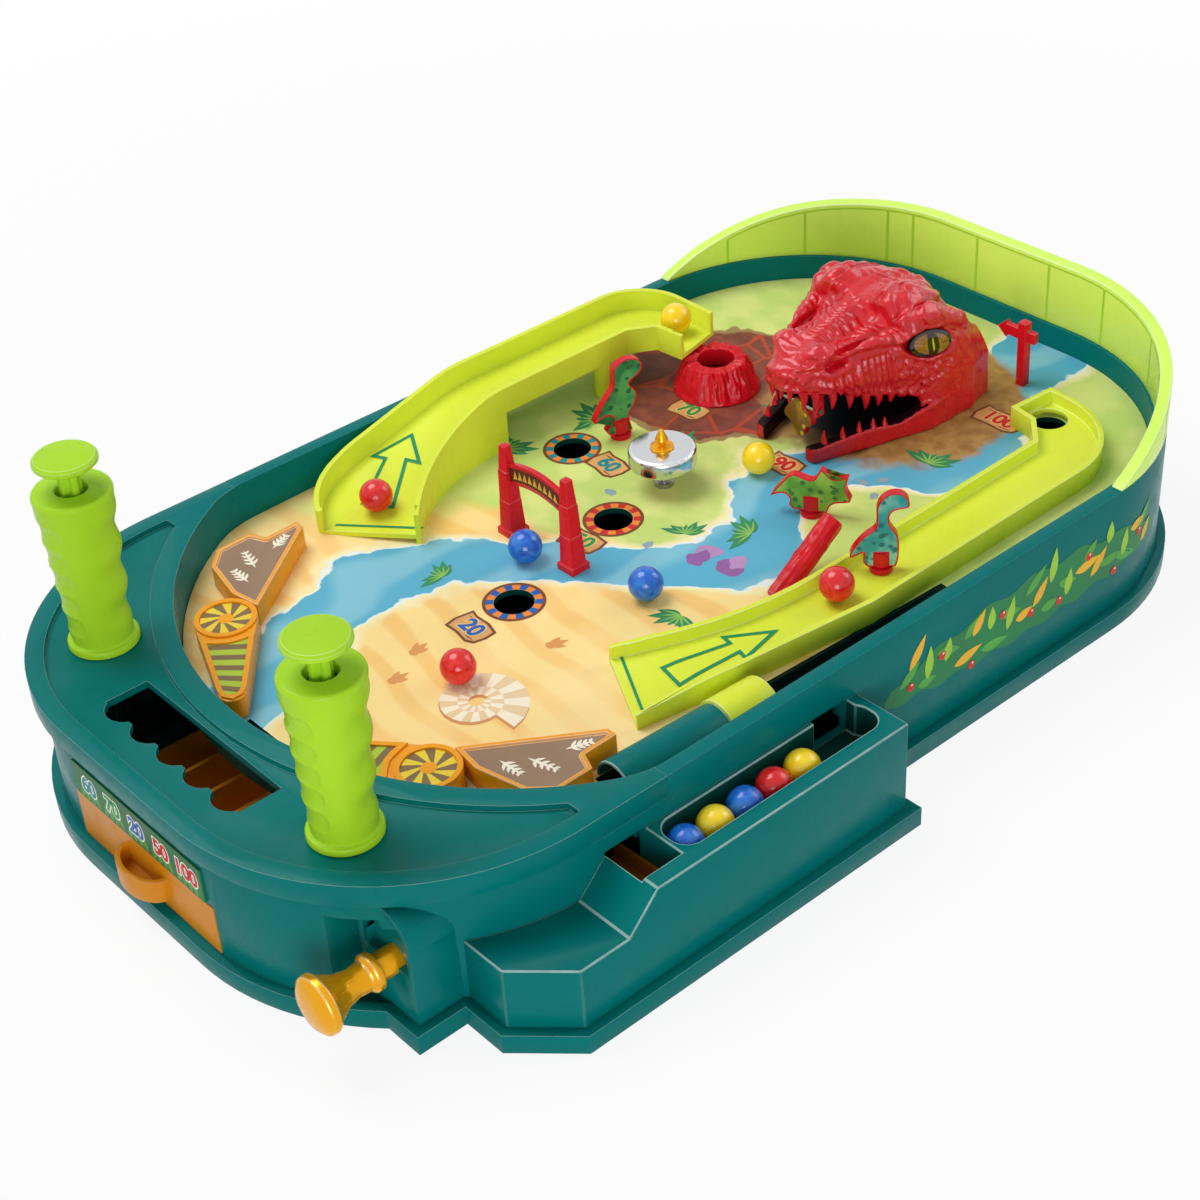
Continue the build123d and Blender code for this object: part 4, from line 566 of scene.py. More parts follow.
def node(tree, kind, inputs=None, **settings):
    """A shader node with its settings and inputs, which are values or other nodes' outputs."""
    made = tree.nodes.new("ShaderNode" + kind)
    for key, value in settings.items():
        setattr(made, key, value)
    for key, value in (inputs or {}).items():
        if isinstance(value, bpy.types.NodeSocket):
            tree.links.new(value, made.inputs[key])
        else:
            made.inputs[key].default_value = value
    return made


def calc(tree, operation, *values):
    """One step of arithmetic in a shader."""
    return node(tree, "Math", dict(enumerate(values)), operation=operation).outputs[0]


def scaled(tree, value, times):
    """A value times another."""
    return calc(tree, "MULTIPLY", value, times)


def length_of(tree, a, b):
    """Length of the long side over two short ones."""
    return calc(tree, "SQRT", calc(tree, "ADD", scaled(tree, a, a), scaled(tree, b, b)))


def ramped(tree, value, low, high, start=0.0, end=1.0, kind="SMOOTHSTEP"):
    """A value moved from one range to another."""
    return node(tree, "MapRange", {0: value, 1: low, 2: high, 3: start, 4: end},
                interpolation_type=kind).outputs[0]


def mixed(tree, share, first, second):
    """Two colours mixed in a shader."""
    one, two = (c if isinstance(c, bpy.types.NodeSocket) else (*c[:3], 1.0)
                for c in (first, second))
    return node(tree, "Mix", {0: share, 6: one, 7: two}, data_type="RGBA").outputs[2]


def grained(tree, place, scale, detail=2.0, roughness=0.5):
    """A noise value over the surface."""
    return node(tree, "TexNoise", {"Vector": place, "Scale": scale, "Detail": detail,
                                   "Roughness": roughness}).outputs["Fac"]


def surface_place(tree):
    """The place of a point on the piece, in metres."""
    return node(tree, "TexCoord").outputs["Object"]


def seen_share(tree):
    """1 for what the camera sees, also in a reflection or through glass, and 0 for other light."""
    path = node(tree, "LightPath").outputs
    direct = calc(tree, "ADD", path["Is Camera Ray"], path["Is Glossy Ray"])
    return calc(tree, "MINIMUM", calc(tree, "ADD", direct, path["Is Transmission Ray"]), 1.0)


def new_material(name):
    """An empty material, its tree and its shader."""
    material = bpy.data.materials.new(name)
    material.use_nodes = True
    tree = material.node_tree
    return material, tree, tree.nodes["Principled BSDF"]


def set_sockets(shader, values):
    """Constants on a shader's own sockets."""
    for key, value in values.items():
        shader.inputs[key].default_value = value


def bumped(tree, shader, height, strength, distance):
    """A bump on a shader."""
    bump = node(tree, "Bump", {"Height": height, "Strength": strength, "Distance": distance})
    tree.links.new(bump.outputs[0], shader.inputs["Normal"])


# ---------------------------------------------------------------- finishes

FINISH_OUTPUTS = (("Colour", True), ("Roughness", False), ("Height", False))


def shader_group(name, inputs):
    """A new finish group with named sockets, the values it is given and what it puts out."""
    tree = bpy.data.node_groups.new(name, "ShaderNodeTree")
    kinds = {True: "NodeSocketColor", False: "NodeSocketFloat"}
    for label, default in inputs:
        colour = isinstance(default, tuple)
        socket = tree.interface.new_socket(label, in_out="INPUT", socket_type=kinds[colour])
        socket.default_value = (*default, 1.0) if colour else default
    for label, colour in FINISH_OUTPUTS:
        tree.interface.new_socket(label, in_out="OUTPUT", socket_type=kinds[colour])
    return tree, tree.nodes.new("NodeGroupInput").outputs, tree.nodes.new("NodeGroupOutput").inputs


def moulded_group():
    """Moulded plastic: slight flow shades, painted highlights on the rounded edges, uneven gloss and a fine grain."""
    kept = bpy.data.node_groups.get("Moulded plastic")
    if kept:
        return kept
    tree, given, out = shader_group("Moulded plastic", (
        ("Colour", (0.5, 0.5, 0.5)), ("Gloss", 0.3), ("Edge", 0.3), ("Grain", 900.0)))
    place = surface_place(tree)
    flow = grained(tree, place, 16, 3)
    smear = grained(tree, place, 130, 3)
    grain = grained(tree, place, given["Grain"], 2)
    value = ramped(tree, flow, 0.3, 0.7, 0.97, 1.03)
    shade = node(tree, "HueSaturation", {"Value": value, "Color": given["Colour"]}).outputs[0]
    # Painted highlight on rounded edges: their mark, broken up by noise, mixes the colour towards a pale tint.
    worn = node(tree, "Attribute", attribute_name="worn", attribute_type="GEOMETRY").outputs["Fac"]
    scuff = scaled(tree, worn, ramped(tree, smear, 0.25, 0.7, 0.65, 1.0))
    pale = mixed(tree, scaled(tree, scuff, given["Edge"]), shade, (0.9, 1.0, 0.97))
    tree.links.new(pale, out["Colour"])
    rough = calc(tree, "ADD", given["Gloss"], ramped(tree, smear, 0.3, 0.75, -0.05, 0.09))
    tree.links.new(rough, out["Roughness"])
    height = calc(tree, "ADD", scaled(tree, grain, 0.4), scaled(tree, flow, 0.1))
    tree.links.new(height, out["Height"])
    return tree


def ink_group():
    """Print on board: fine dots of ink, slight shading and a soft sheen."""
    kept = bpy.data.node_groups.get("Print ink")
    if kept:
        return kept
    tree, given, out = shader_group("Print ink", (("Colour", (0.5, 0.5, 0.5)), ("Shading", 0.12)))
    place = surface_place(tree)
    broad = grained(tree, place, 55, 3)
    dots = grained(tree, place, 2600, 1)
    shading = scaled(tree, calc(tree, "SUBTRACT", broad, 0.5), given["Shading"])
    value = calc(tree, "ADD", 1.0, shading)
    value = calc(tree, "ADD", value, ramped(tree, dots, 0.3, 0.7, -0.02, 0.02))
    shade = node(tree, "HueSaturation", {"Value": value, "Color": given["Colour"]}).outputs[0]
    tree.links.new(shade, out["Colour"])
    tree.links.new(ramped(tree, broad, 0.2, 0.8, 0.38, 0.5), out["Roughness"])
    tree.links.new(dots, out["Height"])
    return tree


def finished(tree, shader, group_tree, inputs):
    """Places a finish group in a material and feeds the shader its colour and roughness."""
    group = node(tree, "Group", inputs, node_tree=group_tree)
    tree.links.new(group.outputs["Colour"], shader.inputs["Base Color"])
    tree.links.new(group.outputs["Roughness"], shader.inputs["Roughness"])
    return group.outputs


def plastic(name, colour, gloss=0.3, edge=0.3, grain=900.0, bump=0.06, shine=0.25, metal=0.0):
    """A moulded plastic of one colour, made once."""
    kept = bpy.data.materials.get(name)
    if kept:
        return kept
    material, tree, shader = new_material(name)
    # edge is the strength of the painted highlight on rounded edges.
    given = {"Colour": (*colour[:3], 1.0), "Gloss": gloss, "Edge": edge, "Grain": grain}
    made = finished(tree, shader, moulded_group(), given)
    bumped(tree, shader, made["Height"], bump, 0.4 * MM)
    set_sockets(shader, {"Specular IOR Level": shine, "Metallic": metal})
    return material


def printed(tree, shader, inputs):
    """Finishes a material as print on board."""
    made = finished(tree, shader, ink_group(), inputs)
    bumped(tree, shader, made["Height"], 0.03, 0.2 * MM)
    set_sockets(shader, {"Specular IOR Level": 0.2})


def ink(name, colour, shading=0.12):
    """A printed colour, made once."""
    kept = bpy.data.materials.get(name)
    if kept:
        return kept
    material, tree, shader = new_material(name)
    printed(tree, shader, {"Colour": (*colour[:3], 1.0), "Shading": shading})
    return material


def teal():
    """Plastic of the body."""
    return plastic("Teal body plastic", colours().body, 0.3, 0.38, shine=0.08)


def well():
    """Darker copy of the teal body plastic: painted shade for the tray's trough and the return tray under the board."""
    return plastic("Dark teal plastic", paint(4, 62, 56), 0.45, 0.15, shine=0.1)


def lime():
    """Plastic of the hand grips and thumb buttons."""
    return plastic("Lime grip plastic", colours().grip, 0.3, 0.25, shine=0.12)


def ramp_lime():
    """Plastic of the ramps and the lane clip."""
    return plastic("Ramp plastic", colours().ramp, 0.27, 0.42, shine=0.15)


def red():
    """Plastic of the teeth, gate, sign and figures' edges."""
    return plastic("Red plastic", colours().red, 0.26, 0.22)


def orange():
    """Plastic of the guides and flippers."""
    return plastic("Orange plastic", colours().orange, 0.28, 0.3)


def amber():
    """Plastic of the drawer and the feed chute."""
    return plastic("Amber plastic", colours().amber, 0.36, 0.2)


def gold():
    """Gold plastic of the plunger and the spinner's knob."""
    return plastic("Gold plastic", colours().gold, 0.2, 0.15, metal=0.45)


def inner():
    """Dull plastic of the shafts, sliders and button skirts."""
    return plastic("Inner plastic", paint(40, 74, 70), 0.5, 0.1)


def steel():
    """Steel of the springs, pins and screws."""
    return plastic("Spring steel", paint(170, 172, 176), 0.24, 0.2, 2200.0, metal=1.0)


def chrome():
    """Plating of the spinner's disc."""
    return plastic("Chrome plating", paint(206, 208, 212), 0.14, 0.2, 1500.0, 0.006, metal=1.0)


def tone_ink(tone):
    """One of the four inks of the numbers and hole rings."""
    return ink(tone + " ink", paint(*INKS[tone]))


def white_ink():
    """White of the halos and the blinks on the berries."""
    return ink("White ink", paint(248, 246, 236))


# ---------------------------------------------------------------- shell

# Two corners of the ball tray's trough, in metres.
TROUGH_LOW, TROUGH_HIGH = (0.1328, -0.1315, 0.0325), (0.1492, -0.011, 0.0455)


def in_trough(place):
    """Whether a place is inside the ball tray's trough or feed hole."""
    return all(low < value < high for low, value, high in zip(TROUGH_LOW, place, TROUGH_HIGH))


class PINBALL_OT_shell(bpy.types.Operator):
    """Moulds the teal body, deck, tray, barrel and base with rounded edges that carry a painted highlight, and painted
    shade inside the tray's trough
    """
    bl_idname = "pinball.shell"
    bl_label = "Teal shell"

    def execute(self, context):
        edge = sizes().shell_edge
        for name in ("wall_shell", "base_plate", "front_deck", "plunger_barrel", "lane_cover"):
            soften(name, edge, teal(), "teal_body")
        # Faces inside the trough take the darker teal: painted shade.
        soften("ball_tray", edge, [teal(), well()], "teal_body",
               choose=lambda centre, normal: int(in_trough(centre)))
        dress("base_screws", steel())
        return {"FINISHED"}


# ---------------------------------------------------------------- printed playfield

# The stream's course is in shares of its length and span.
STREAM_START, STREAM_END, STREAM_SPAN = -190.0, 180.0, 250.0
STREAM_COURSE = ((0.0, 0.44), (0.13, 0.36), (0.3, 0.3), (0.45, 0.5), (0.58, 0.66), (0.72, 0.56),
                 (0.84, 0.72), (1.0, 0.62))
VOLCANO_GROUND, VOLCANO_REACH = (-58.6, 108.0), 46.0
DEN_GROUND, DEN_REACH = (4.0, 150.0), 58.0


def patch(tree, x, y, wobble, middle, reach, edge=1.0):
    """A round printed patch with an uneven edge, as a mask. Sizes are in millimetres."""
    dx = calc(tree, "SUBTRACT", x, middle[0])
    dy = calc(tree, "SUBTRACT", y, middle[1])
    return ramped(tree, calc(tree, "ADD", length_of(tree, dx, dy), wobble), reach, reach - edge)


def printed_ground(tree, place, x, y, mid):
    """Sand with soft ripples, which turns to meadow at the rear."""
    tint = colours()
    broad = grained(tree, place, 14, 2)
    ripple = node(tree, "TexWave", {"Vector": place, "Scale": 17.0, "Distortion": 7.0,
                                    "Detail": 1.0, "Detail Scale": 0.7},
                  bands_direction="Y").outputs["Fac"]
    sand = mixed(tree, ramped(tree, ripple, 0.45, 0.9, 0.0, 0.55), tint.sand, paint(246, 188, 98))
    sand = mixed(tree, ramped(tree, broad, 0.52, 0.66, 0.0, 0.6), sand, paint(254, 230, 166))
    grass = calc(tree, "ADD", scaled(tree, y, 0.011), scaled(tree, broad, 2.2))
    grass = calc(tree, "ADD", grass, scaled(tree, x, -0.004))
    field = mixed(tree, ramped(tree, mid, 0.42, 0.62), tint.meadow, paint(222, 232, 140))
    return mixed(tree, ramped(tree, grass, 0.86, 1.02), sand, field)


def printed_stream(tree, place, x, y, mid, ground):
    """A stream with pale banks that winds down the board."""
    along = ramped(tree, y, STREAM_START, STREAM_END, kind="LINEAR")
    course = node(tree, "FloatCurve", {"Factor": 1.0, "Value": along})
    curve = course.mapping.curves[0]
    for spot in STREAM_COURSE[1:-1]:
        curve.points.new(*spot)
    curve.points[0].location = STREAM_COURSE[0]
    curve.points[-1].location = STREAM_COURSE[-1]
    course.mapping.update()
    middle = calc(tree, "SUBTRACT", scaled(tree, course.outputs[0], STREAM_SPAN), STREAM_SPAN / 2)
    sway = scaled(tree, calc(tree, "SUBTRACT", mid, 0.5), 34.0)
    away = calc(tree, "ABSOLUTE", calc(tree, "ADD", calc(tree, "SUBTRACT", x, middle), sway))
    streak = node(tree, "TexWave", {"Vector": place, "Scale": 9.0, "Distortion": 9.0,
                                    "Detail": 2.0}, bands_direction="X").outputs["Fac"]
    water = mixed(tree, ramped(tree, streak, 0.35, 0.85, 0.0, 0.6), colours().water,
                  paint(150, 208, 222))
    for outer, inner_edge, colour in ((27.0, 20.0, paint(252, 240, 188)),
                                      (20.5, 19.5, paint(236, 246, 240)), (19.0, 18.0, water)):
        ground = mixed(tree, ramped(tree, away, outer, inner_edge), ground, colour)
    return ground


def printed_earth(tree, place, x, y, mid, ground):
    """Cracked earth round the volcano, bare ground round the head and painted shadow on the ground under the head."""
    fine = grained(tree, place, 160, 3)
    wobble = scaled(tree, calc(tree, "SUBTRACT", mid, 0.5), 26.0)
    cracks = node(tree, "TexVoronoi", {"Vector": place, "Scale": 46.0},
                  feature="DISTANCE_TO_EDGE").outputs[0]
    soil = mixed(tree, ramped(tree, fine, 0.35, 0.7), colours().earth, paint(142, 78, 58))
    soil = mixed(tree, ramped(tree, cracks, 0.05, 0.02, 0.0, 0.75), soil, paint(196, 74, 40))
    rim = patch(tree, x, y, wobble, VOLCANO_GROUND, VOLCANO_REACH + 2.5)
    ground = mixed(tree, rim, ground, paint(160, 132, 84))
    ground = mixed(tree, patch(tree, x, y, wobble, VOLCANO_GROUND, VOLCANO_REACH), ground, soil)
    bare = mixed(tree, ramped(tree, fine, 0.3, 0.7), paint(188, 150, 86), paint(160, 120, 66))
    ground = mixed(tree, patch(tree, x, y, wobble, DEN_GROUND, DEN_REACH, 6.0), ground, bare)
    # Painted shadow: the ground under the head is near black, as if shaded by it.
    inside = scaled(tree, ramped(tree, y, 97.0, 112.0), ramped(tree, y, 178.0, 174.0))
    cave = scaled(tree, ramped(tree, calc(tree, "ABSOLUTE", x), 27.0, 22.0), inside)
    return mixed(tree, cave, ground, paint(12, 20, 26))


def playfield_print():
    """Printed ground on the board's face, and dark teal on its edges."""
    material, tree, shader = new_material("Playfield print")
    place = surface_place(tree)
    split = node(tree, "SeparateXYZ", {0: place}).outputs
    x, y = (scaled(tree, split[axis], 1 / MM) for axis in (0, 1))
    mid = grained(tree, place, 42, 3)
    ground = printed_ground(tree, place, x, y, mid)
    ground = printed_stream(tree, place, x, y, mid, ground)
    ground = printed_earth(tree, place, x, y, mid, ground)
    normal = node(tree, "NewGeometry").outputs["Normal"]
    facing = node(tree, "SeparateXYZ", {0: normal}).outputs[2]
    ground = mixed(tree, ramped(tree, facing, 0.9, 0.6), ground, paint(4, 62, 56))
    printed(tree, shader, {"Colour": ground, "Shading": 0.1})
    return material


INKS = {"teal": (24, 140, 150), "red": (206, 40, 40), "blue": (34, 98, 176),
        "green": (40, 150, 70)}
# Across, along and ink of each score hole.
HOLES = ((-66.9, 29.2, "teal"), (-14.8, 5.6, "red"), (-0.9, -57.8, "blue"))
HOLE_DASHES, DASH_INNER, DASH_OUTER, HOLE_RIM, HOLE_RIM_WIDTH = 20, 8.1, 11.2, 12.4, 1.3
# Across, along, number, ink, width and turn of each plate.
PLATES = ((0.0, -79.5, "20", "blue", 17.0, -0.1), (-46.0, 31.0, "60", "teal", 17.0, -0.12),
          (-53.0, 83.5, "70", "green", 17.0, 0.1), (49.5, 165.0, "100", "red", 22.0, 0.0),
          (-12.5, -13.0, "50", "green", 17.0, 0.08), (7.0, 80.0, "90", "red", 16.0, 0.05))
PLATE_HEIGHT, PLATE_RIM, PLATE_NUMBER = 11.2, 2.4, 10.0
FOSSIL_PLACE, FOSSIL_REACH, FOSSIL_SHRINK = (36.0, -106.0), 21.0, -0.105
FOSSIL_RIBS, FOSSIL_STEP, FOSSIL_INNER = 46, 0.3, 0.45
# Across, along and aim of each footprint.
FOOTPRINTS = ((-8.0, -132.0, 1.9), (4.0, -120.0, 1.5), (-4.0, -104.0, 1.7), (30.0, -66.0, 1.2))
# Across, along, reach and first aim of each fan of leaves.
PLANTS = ((-88, 10, 15, 0.2), (-76, 52, 17, 2.4), (14, 18, 11, 0.9), (-36, 62, 12, 1.3),
          (52, -20, 13, 3.4), (33, 36, 14, 2.2), (50, 120, 14, 0.4), (-22, 112, 12, 1.0),
          (-34, -66, 11, 2.0))


def alternate(number):
    """The first material for even outlines and the second for odd ones."""
    return number % 2


def circle(x, y, radius, half_count):
    """A round outline of twice that many points."""
    return [round_point(x, y, radius, k * math.pi / half_count) for k in range(2 * half_count)]


def plank(width, height):
    """Outline of a split wooden plate round its middle."""
    half, tall = width / 2, height / 2
    corners = ((-1.0, -0.25), (-0.86, -1.0), (-0.2, -0.9), (0.55, -1.0), (0.9, -0.72),
               (1.0, 0.05), (0.92, 0.8), (0.25, 1.0), (-0.5, 0.88), (-0.9, 1.0))
    return [(half * across, tall * along) for across, along in corners]


def clear_of_holes(outlines, room=12.6):
    """The printed outlines that keep off the rings round the score holes."""
    return [outline for outline in outlines
            if all(math.hypot(px - x, py - y) > room for px, py in outline for x, y, _ in HOLES)]


def hole_prints(brown):
    """Dashed rings with a brown edge round the score holes."""
    warm = ink("Orange ink", paint(238, 138, 56))
    for number, (x, y, tone) in enumerate(HOLES, 1):
        dashes = []
        for k in range(HOLE_DASHES):
            a, b = (FULL_TURN * end / HOLE_DASHES for end in (k, k + 1))
            steps = [a + (b - a) * t / 3 for t in range(4)]
            dashes.append([round_point(x, y, DASH_OUTER, t) for t in steps]
                          + [round_point(x, y, DASH_INNER, t) for t in reversed(steps)])
        flat_print("hole_ring_%d" % number, dashes, on_field, [tone_ink(tone), warm],
                   choose=alternate, up=0.08)
        rim = outline_band(circle(x, y, HOLE_RIM, 24), HOLE_RIM_WIDTH)
        flat_print("hole_edge_%d" % number, rim, on_field, brown, up=0.09)


def number_plates(brown):
    """Wooden plates with a dark edge, a few lines of grain and a haloed number."""
    cream = ink("Cream ink", paint(250, 206, 130))
    wood = ink("Wood ink", colours().wood, 0.5)
    for x, y, words, tone, width, angle in PLATES:
        name, place = "plate_" + words, turned(x, y, angle)
        flat_print(name + "_edge", [plank(width + PLATE_RIM, PLATE_HEIGHT + PLATE_RIM)], place,
                   brown, up=0.05)
        flat_print(name, [plank(width, PLATE_HEIGHT)], place, wood, up=0.09)
        grain = [moved(leaf(width * 0.4, 0.7), -width * 0.42, 3.6, 0.02),
                 moved(leaf(width * 0.34, 0.6), width * 0.1, -4.2, 0.03)]
        flat_print(name + "_grain", grain, place, brown, up=0.11)
        numerals(name + "_halo", words, PLATE_NUMBER, place, cream, 0.13, 0.85)
        numerals(name + "_number", words, PLATE_NUMBER, place, tone_ink(tone), 0.16, 0.38)


def fossil_print():
    """A ribbed spiral shell and its shade."""
    shell = []
    for k in range(FOSSIL_RIBS):
        turns = (FOSSIL_STEP * k, FOSSIL_STEP * (k + 1))
        outer, inner_edge = (
            [round_point(*FOSSIL_PLACE, FOSSIL_REACH * math.exp(FOSSIL_SHRINK * turn) * share, turn)
             for turn in turns] for share in (1.0, FOSSIL_INNER))
        shell.append([*outer, *reversed(inner_edge)])
    shade = [[(x + 1.1, y - 1.2) for x, y in rib] for rib in shell]
    flat_print("fossil_shade", shade, on_field, ink("Fossil shade ink", paint(214, 150, 96)),
               up=0.05)
    tones = [ink("Fossil ink", paint(250, 240, 214)), ink("Fossil rib ink", paint(234, 208, 164))]
    flat_print("fossil", shell, on_field, tones, up=0.075, choose=alternate)


def footprint_print():
    """Three-toed footprints that lead up the board."""
    prints = []
    for x, y, aim in FOOTPRINTS:
        for spread in (-0.55, 0.0, 0.55):
            prints.append(moved(leaf(7.4 - 2.4 * abs(spread), 2.8), x, y, aim + spread))
        prints.append(oval(x, y, 2.1, 1.8))
    flat_print("footprints", prints, on_field, ink("Footprint ink", paint(226, 158, 92), 0.3),
               up=0.05)


def stone_prints():
    """A heap of violet rocks and two rows of small grey stones."""
    rocks = [oval(34.0 + 9.0 * math.cos(2.1 * k), 14.0 + 7.0 * math.sin(2.9 * k),
                  6.4 - 0.6 * k, 4.6 - 0.4 * k, 0.7 * k, 20, 0.35, 3.0 + k) for k in range(5)]
    tones = [ink("Violet ink", paint(146, 96, 160), 0.5),
             ink("Lilac ink", paint(186, 142, 190), 0.5)]
    flat_print("rocks", rocks, on_field, tones, up=0.04, choose=alternate)
    stones = [oval(-30 + 9 * k + 3 * math.sin(k * 2.1), 18 - 6 * math.sin(k * 1.7) - 3 * k,
                   3.1 + 0.7 * math.sin(k), 1.9, 0.4 * k, 18, 0.3, k) for k in range(5)]
    stones += [oval(40 + 5 * k, 92 + 7 * math.sin(k * 1.9), 2.6, 1.7, k, 18, 0.3, 7 + k)
               for k in range(4)]
    flat_print("stones", clear_of_holes(stones), on_field,
               ink("Stone ink", paint(150, 172, 178), 0.4))


def plant_prints():
    """Fans of leaves with pale ribs."""
    fronds, ribs = [], []
    for x, y, reach, start in PLANTS:
        for k in range(7):
            angle = start + k * 0.42
            long = reach * (0.75 + 0.25 * math.sin(k * 1.3))
            fronds.append(moved(leaf(long, reach * 0.3, reach * 0.1), x, y, angle))
            ribs.append(moved(leaf(reach * 0.62, reach * 0.07, reach * 0.06), x, y, angle))
    flat_print("leaves", clear_of_holes(fronds), on_field,
               ink("Leaf ink", paint(52, 142, 92), 0.6), up=0.05)
    flat_print("leaf_ribs", clear_of_holes(ribs), on_field,
               ink("Pale leaf ink", paint(140, 196, 96)), up=0.13)


class PINBALL_OT_playfield(bpy.types.Operator):
    """Prints the playfield: ground, hole rings, number plates, plants and stones"""
    bl_idname = "pinball.playfield"
    bl_label = "Printed playfield"

    def execute(self, context):
        dress("playfield_board", playfield_print())
        brown = ink("Brown ink", paint(122, 70, 40))
        hole_prints(brown)
        number_plates(brown)
        fossil_print()
        footprint_print()
        stone_prints()
        plant_prints()
        return {"FINISHED"}


# ---------------------------------------------------------------- ramps

# Side, (along, height) of the floor, arrow, and ends of the foot's line.
RAMPS = (
    ("left", ((-84.7, 45.5), (-55.0, 50.0), (5.1, 66.0), (120.6, 66.0)),
     ((-109.4, -21.1), (-114.6, -40.6), (-107.8, -38.4), (-94.1, -61.4), (-80.2, -54.4),
      (-97.6, -33.6), (-90.4, -31.6)), ((-92.0, -76.0), (-60.5, -55.5))),
    ("right", ((-80.0, 45.6), (-44.0, 50.0), (20.9, 51.5), (190.0, 54.5)),
     ((89.2, -5.6), (76.3, -23.4), (81.1, -24.2), (73.2, -50.6), (86.3, -53.3),
      (88.8, -25.7), (93.4, -27.0)), ((56.8, -55.5), (88.6, -72.5))),
)
ARROW_LINE, FOOT_LINE, RAMP_INK_RISE = 1.5, 1.3, 0.25


def on_ramp(floor):
    """Puts flat points on a ramp's floor, a row of (y, height) points."""
    return lambda x, y, up: Vector((x, y, between(floor, y) + up)) * MM


class PINBALL_OT_ramps(bpy.types.Operator):
    """Moulds the two ramps and the lane clip, and prints an arrow and a line on each ramp's foot"""
    bl_idname = "pinball.ramps"
    bl_label = "Ramps"

    def execute(self, context):
        for name in ("left_ramp", "right_ramp", "lane_clip"):
            soften(name, sizes().part_edge, ramp_lime(), "ramp_plastic")
        green = ink("Arrow ink", paint(20, 140, 92))
        for side, floor, arrow, ((x0, y0), (x1, y1)) in RAMPS:
            band = [part for quad in outline_band(arrow, ARROW_LINE) for part in cut_up(quad)]
            foot = cut_up([(x0, y0), (x1, y1), (x1, y1 + FOOT_LINE), (x0, y0 + FOOT_LINE)])
            for name, parts in (("_arrow", band), ("_foot_line", foot)):
                flat_print(side + name, parts, on_ramp(floor), green, slot="ramp_plastic",
                           up=RAMP_INK_RISE)
        return {"FINISHED"}


# ---------------------------------------------------------------- wall print and back shield

# Middle and radii of the body's rear corners, and the flat between them.
CORNER_X, CORNER_Y = 36.0, 137.0
OUTER_RADIUS, INNER_RADIUS, REAR_FLAT = 95.0, 90.0, 72.0
BAND_START, BAND_STEP, BAND_STEPS = 6.0, 3.6, 46
BERRIES, BERRY_START, BERRY_STEP = 9, 20.0, 17.0


def on_wall(along, high, out):
    """A place on the right wall, from millimetres along it, round the rear corner, and up."""
    if along <= CORNER_Y:
        return Vector((CORNER_X + OUTER_RADIUS + out, along, high)) * MM
    turn = (along - CORNER_Y) / OUTER_RADIUS
    return Vector((*round_point(CORNER_X, CORNER_Y, OUTER_RADIUS + out, turn), high)) * MM


def band_edges(along):
    """Height of the printed band's low and high edge."""
    swell = max(0.0, math.sin(math.pi * (along - BAND_START) / (BAND_STEP * BAND_STEPS)))
    return (29.0 - 5.5 * swell + 1.2 * math.sin(along * 0.31),
            32.0 + 16.0 * swell ** 0.6 + 1.6 * math.sin(along * 0.23))


def berry_dots(shift_x, shift_z, radius, count):
    """A row of round dots along the wall's berries."""
    return [oval(BERRY_START + shift_x + BERRY_STEP * k, 33.0 + shift_z + 8.0 * math.sin(k * 2.4),
                 radius, radius, 0.0, count) for k in range(BERRIES)]


class PINBALL_OT_wall_print(bpy.types.Operator):
    """Prints a band of leaves and berries on the right wall"""
    bl_idname = "pinball.wall_print"
    bl_label = "Wall print"

    def execute(self, context):
        band = []
        for k in range(BAND_STEPS):
            a, b = (BAND_START + BAND_STEP * end for end in (k, k + 1))
            (low_a, high_a), (low_b, high_b) = band_edges(a), band_edges(b)
            band.append([(a, low_a), (b, low_b), (b, high_b), (a, high_a)])
        blades = []
        for k in range(30):
            x, z = 14.0 + 5.0 * k, 35.0 + 6.0 * math.sin(k * 1.9)
            blade = leaf(13.0 + 3.0 * math.sin(k * 2.3), 4.6, 1.5)
            blades.append(moved(blade, x, z, 0.5 + 0.9 * math.sin(k * 2.7)))
        greens = [ink("Fern ink", paint(84, 168, 70), 0.5),
                  ink("Young leaf ink", paint(158, 204, 66), 0.4),
                  ink("Gold leaf ink", paint(240, 186, 52), 0.4)]
        band_ink = ink("Wall band ink", paint(36, 128, 74), 0.5)
        berry_ink = ink("Berry ink", paint(214, 52, 44))

        def leaf_tone(number):
            return (number * 5) % 7 % 3

        for name, outlines, tones, up, choose in (
                ("wall_band", band, band_ink, 0.1, None),
                ("wall_leaves", blades, greens, 0.22, leaf_tone),
                ("wall_berries", berry_dots(0.0, 0.0, 1.9, 14), berry_ink, 0.32, None),
                ("wall_blinks", berry_dots(0.5, 0.8, 0.5, 10), white_ink(), 0.38, None)):
            flat_print(name, outlines, on_wall, tones, slot="printed_card", up=up, choose=choose)
        return {"FINISHED"}


# (along, height) of the shield's top, and its seams as shares of its outline.
SHIELD_TOP = ((139.9, 62.9), (161.5, 72.5), (184.4, 80.9), (203.0, 86.3), (217.6, 89.3),
              (232.0, 92.0))
SHIELD_SEAMS = (0.12, 0.235, 0.35, 0.437, 0.55, 0.652, 0.688, 0.797, 0.9)
SEAM_START, SEAM_SHARE, SEAM_STEPS = 0.12, 0.78, 60
SEAM_FOOT, SEAM_HALF, TOP_LINE, UNDER_TOP = 62.4, 0.6, 0.7, 1.6


def rear_place(along, radius, out):
    """A place on the rear outline, from millimetres along it from the right side to the left."""
    arc = radius * math.pi / 2
    if arc < along < arc + REAR_FLAT:
        return Vector((CORNER_X - (along - arc), CORNER_Y + radius + out, 0)) * MM
    right = along <= arc
    turn = (along if right else along - REAR_FLAT) / radius
    middle = CORNER_X if right else -CORNER_X
    return Vector((*round_point(middle, CORNER_Y, radius + out, turn), 0)) * MM


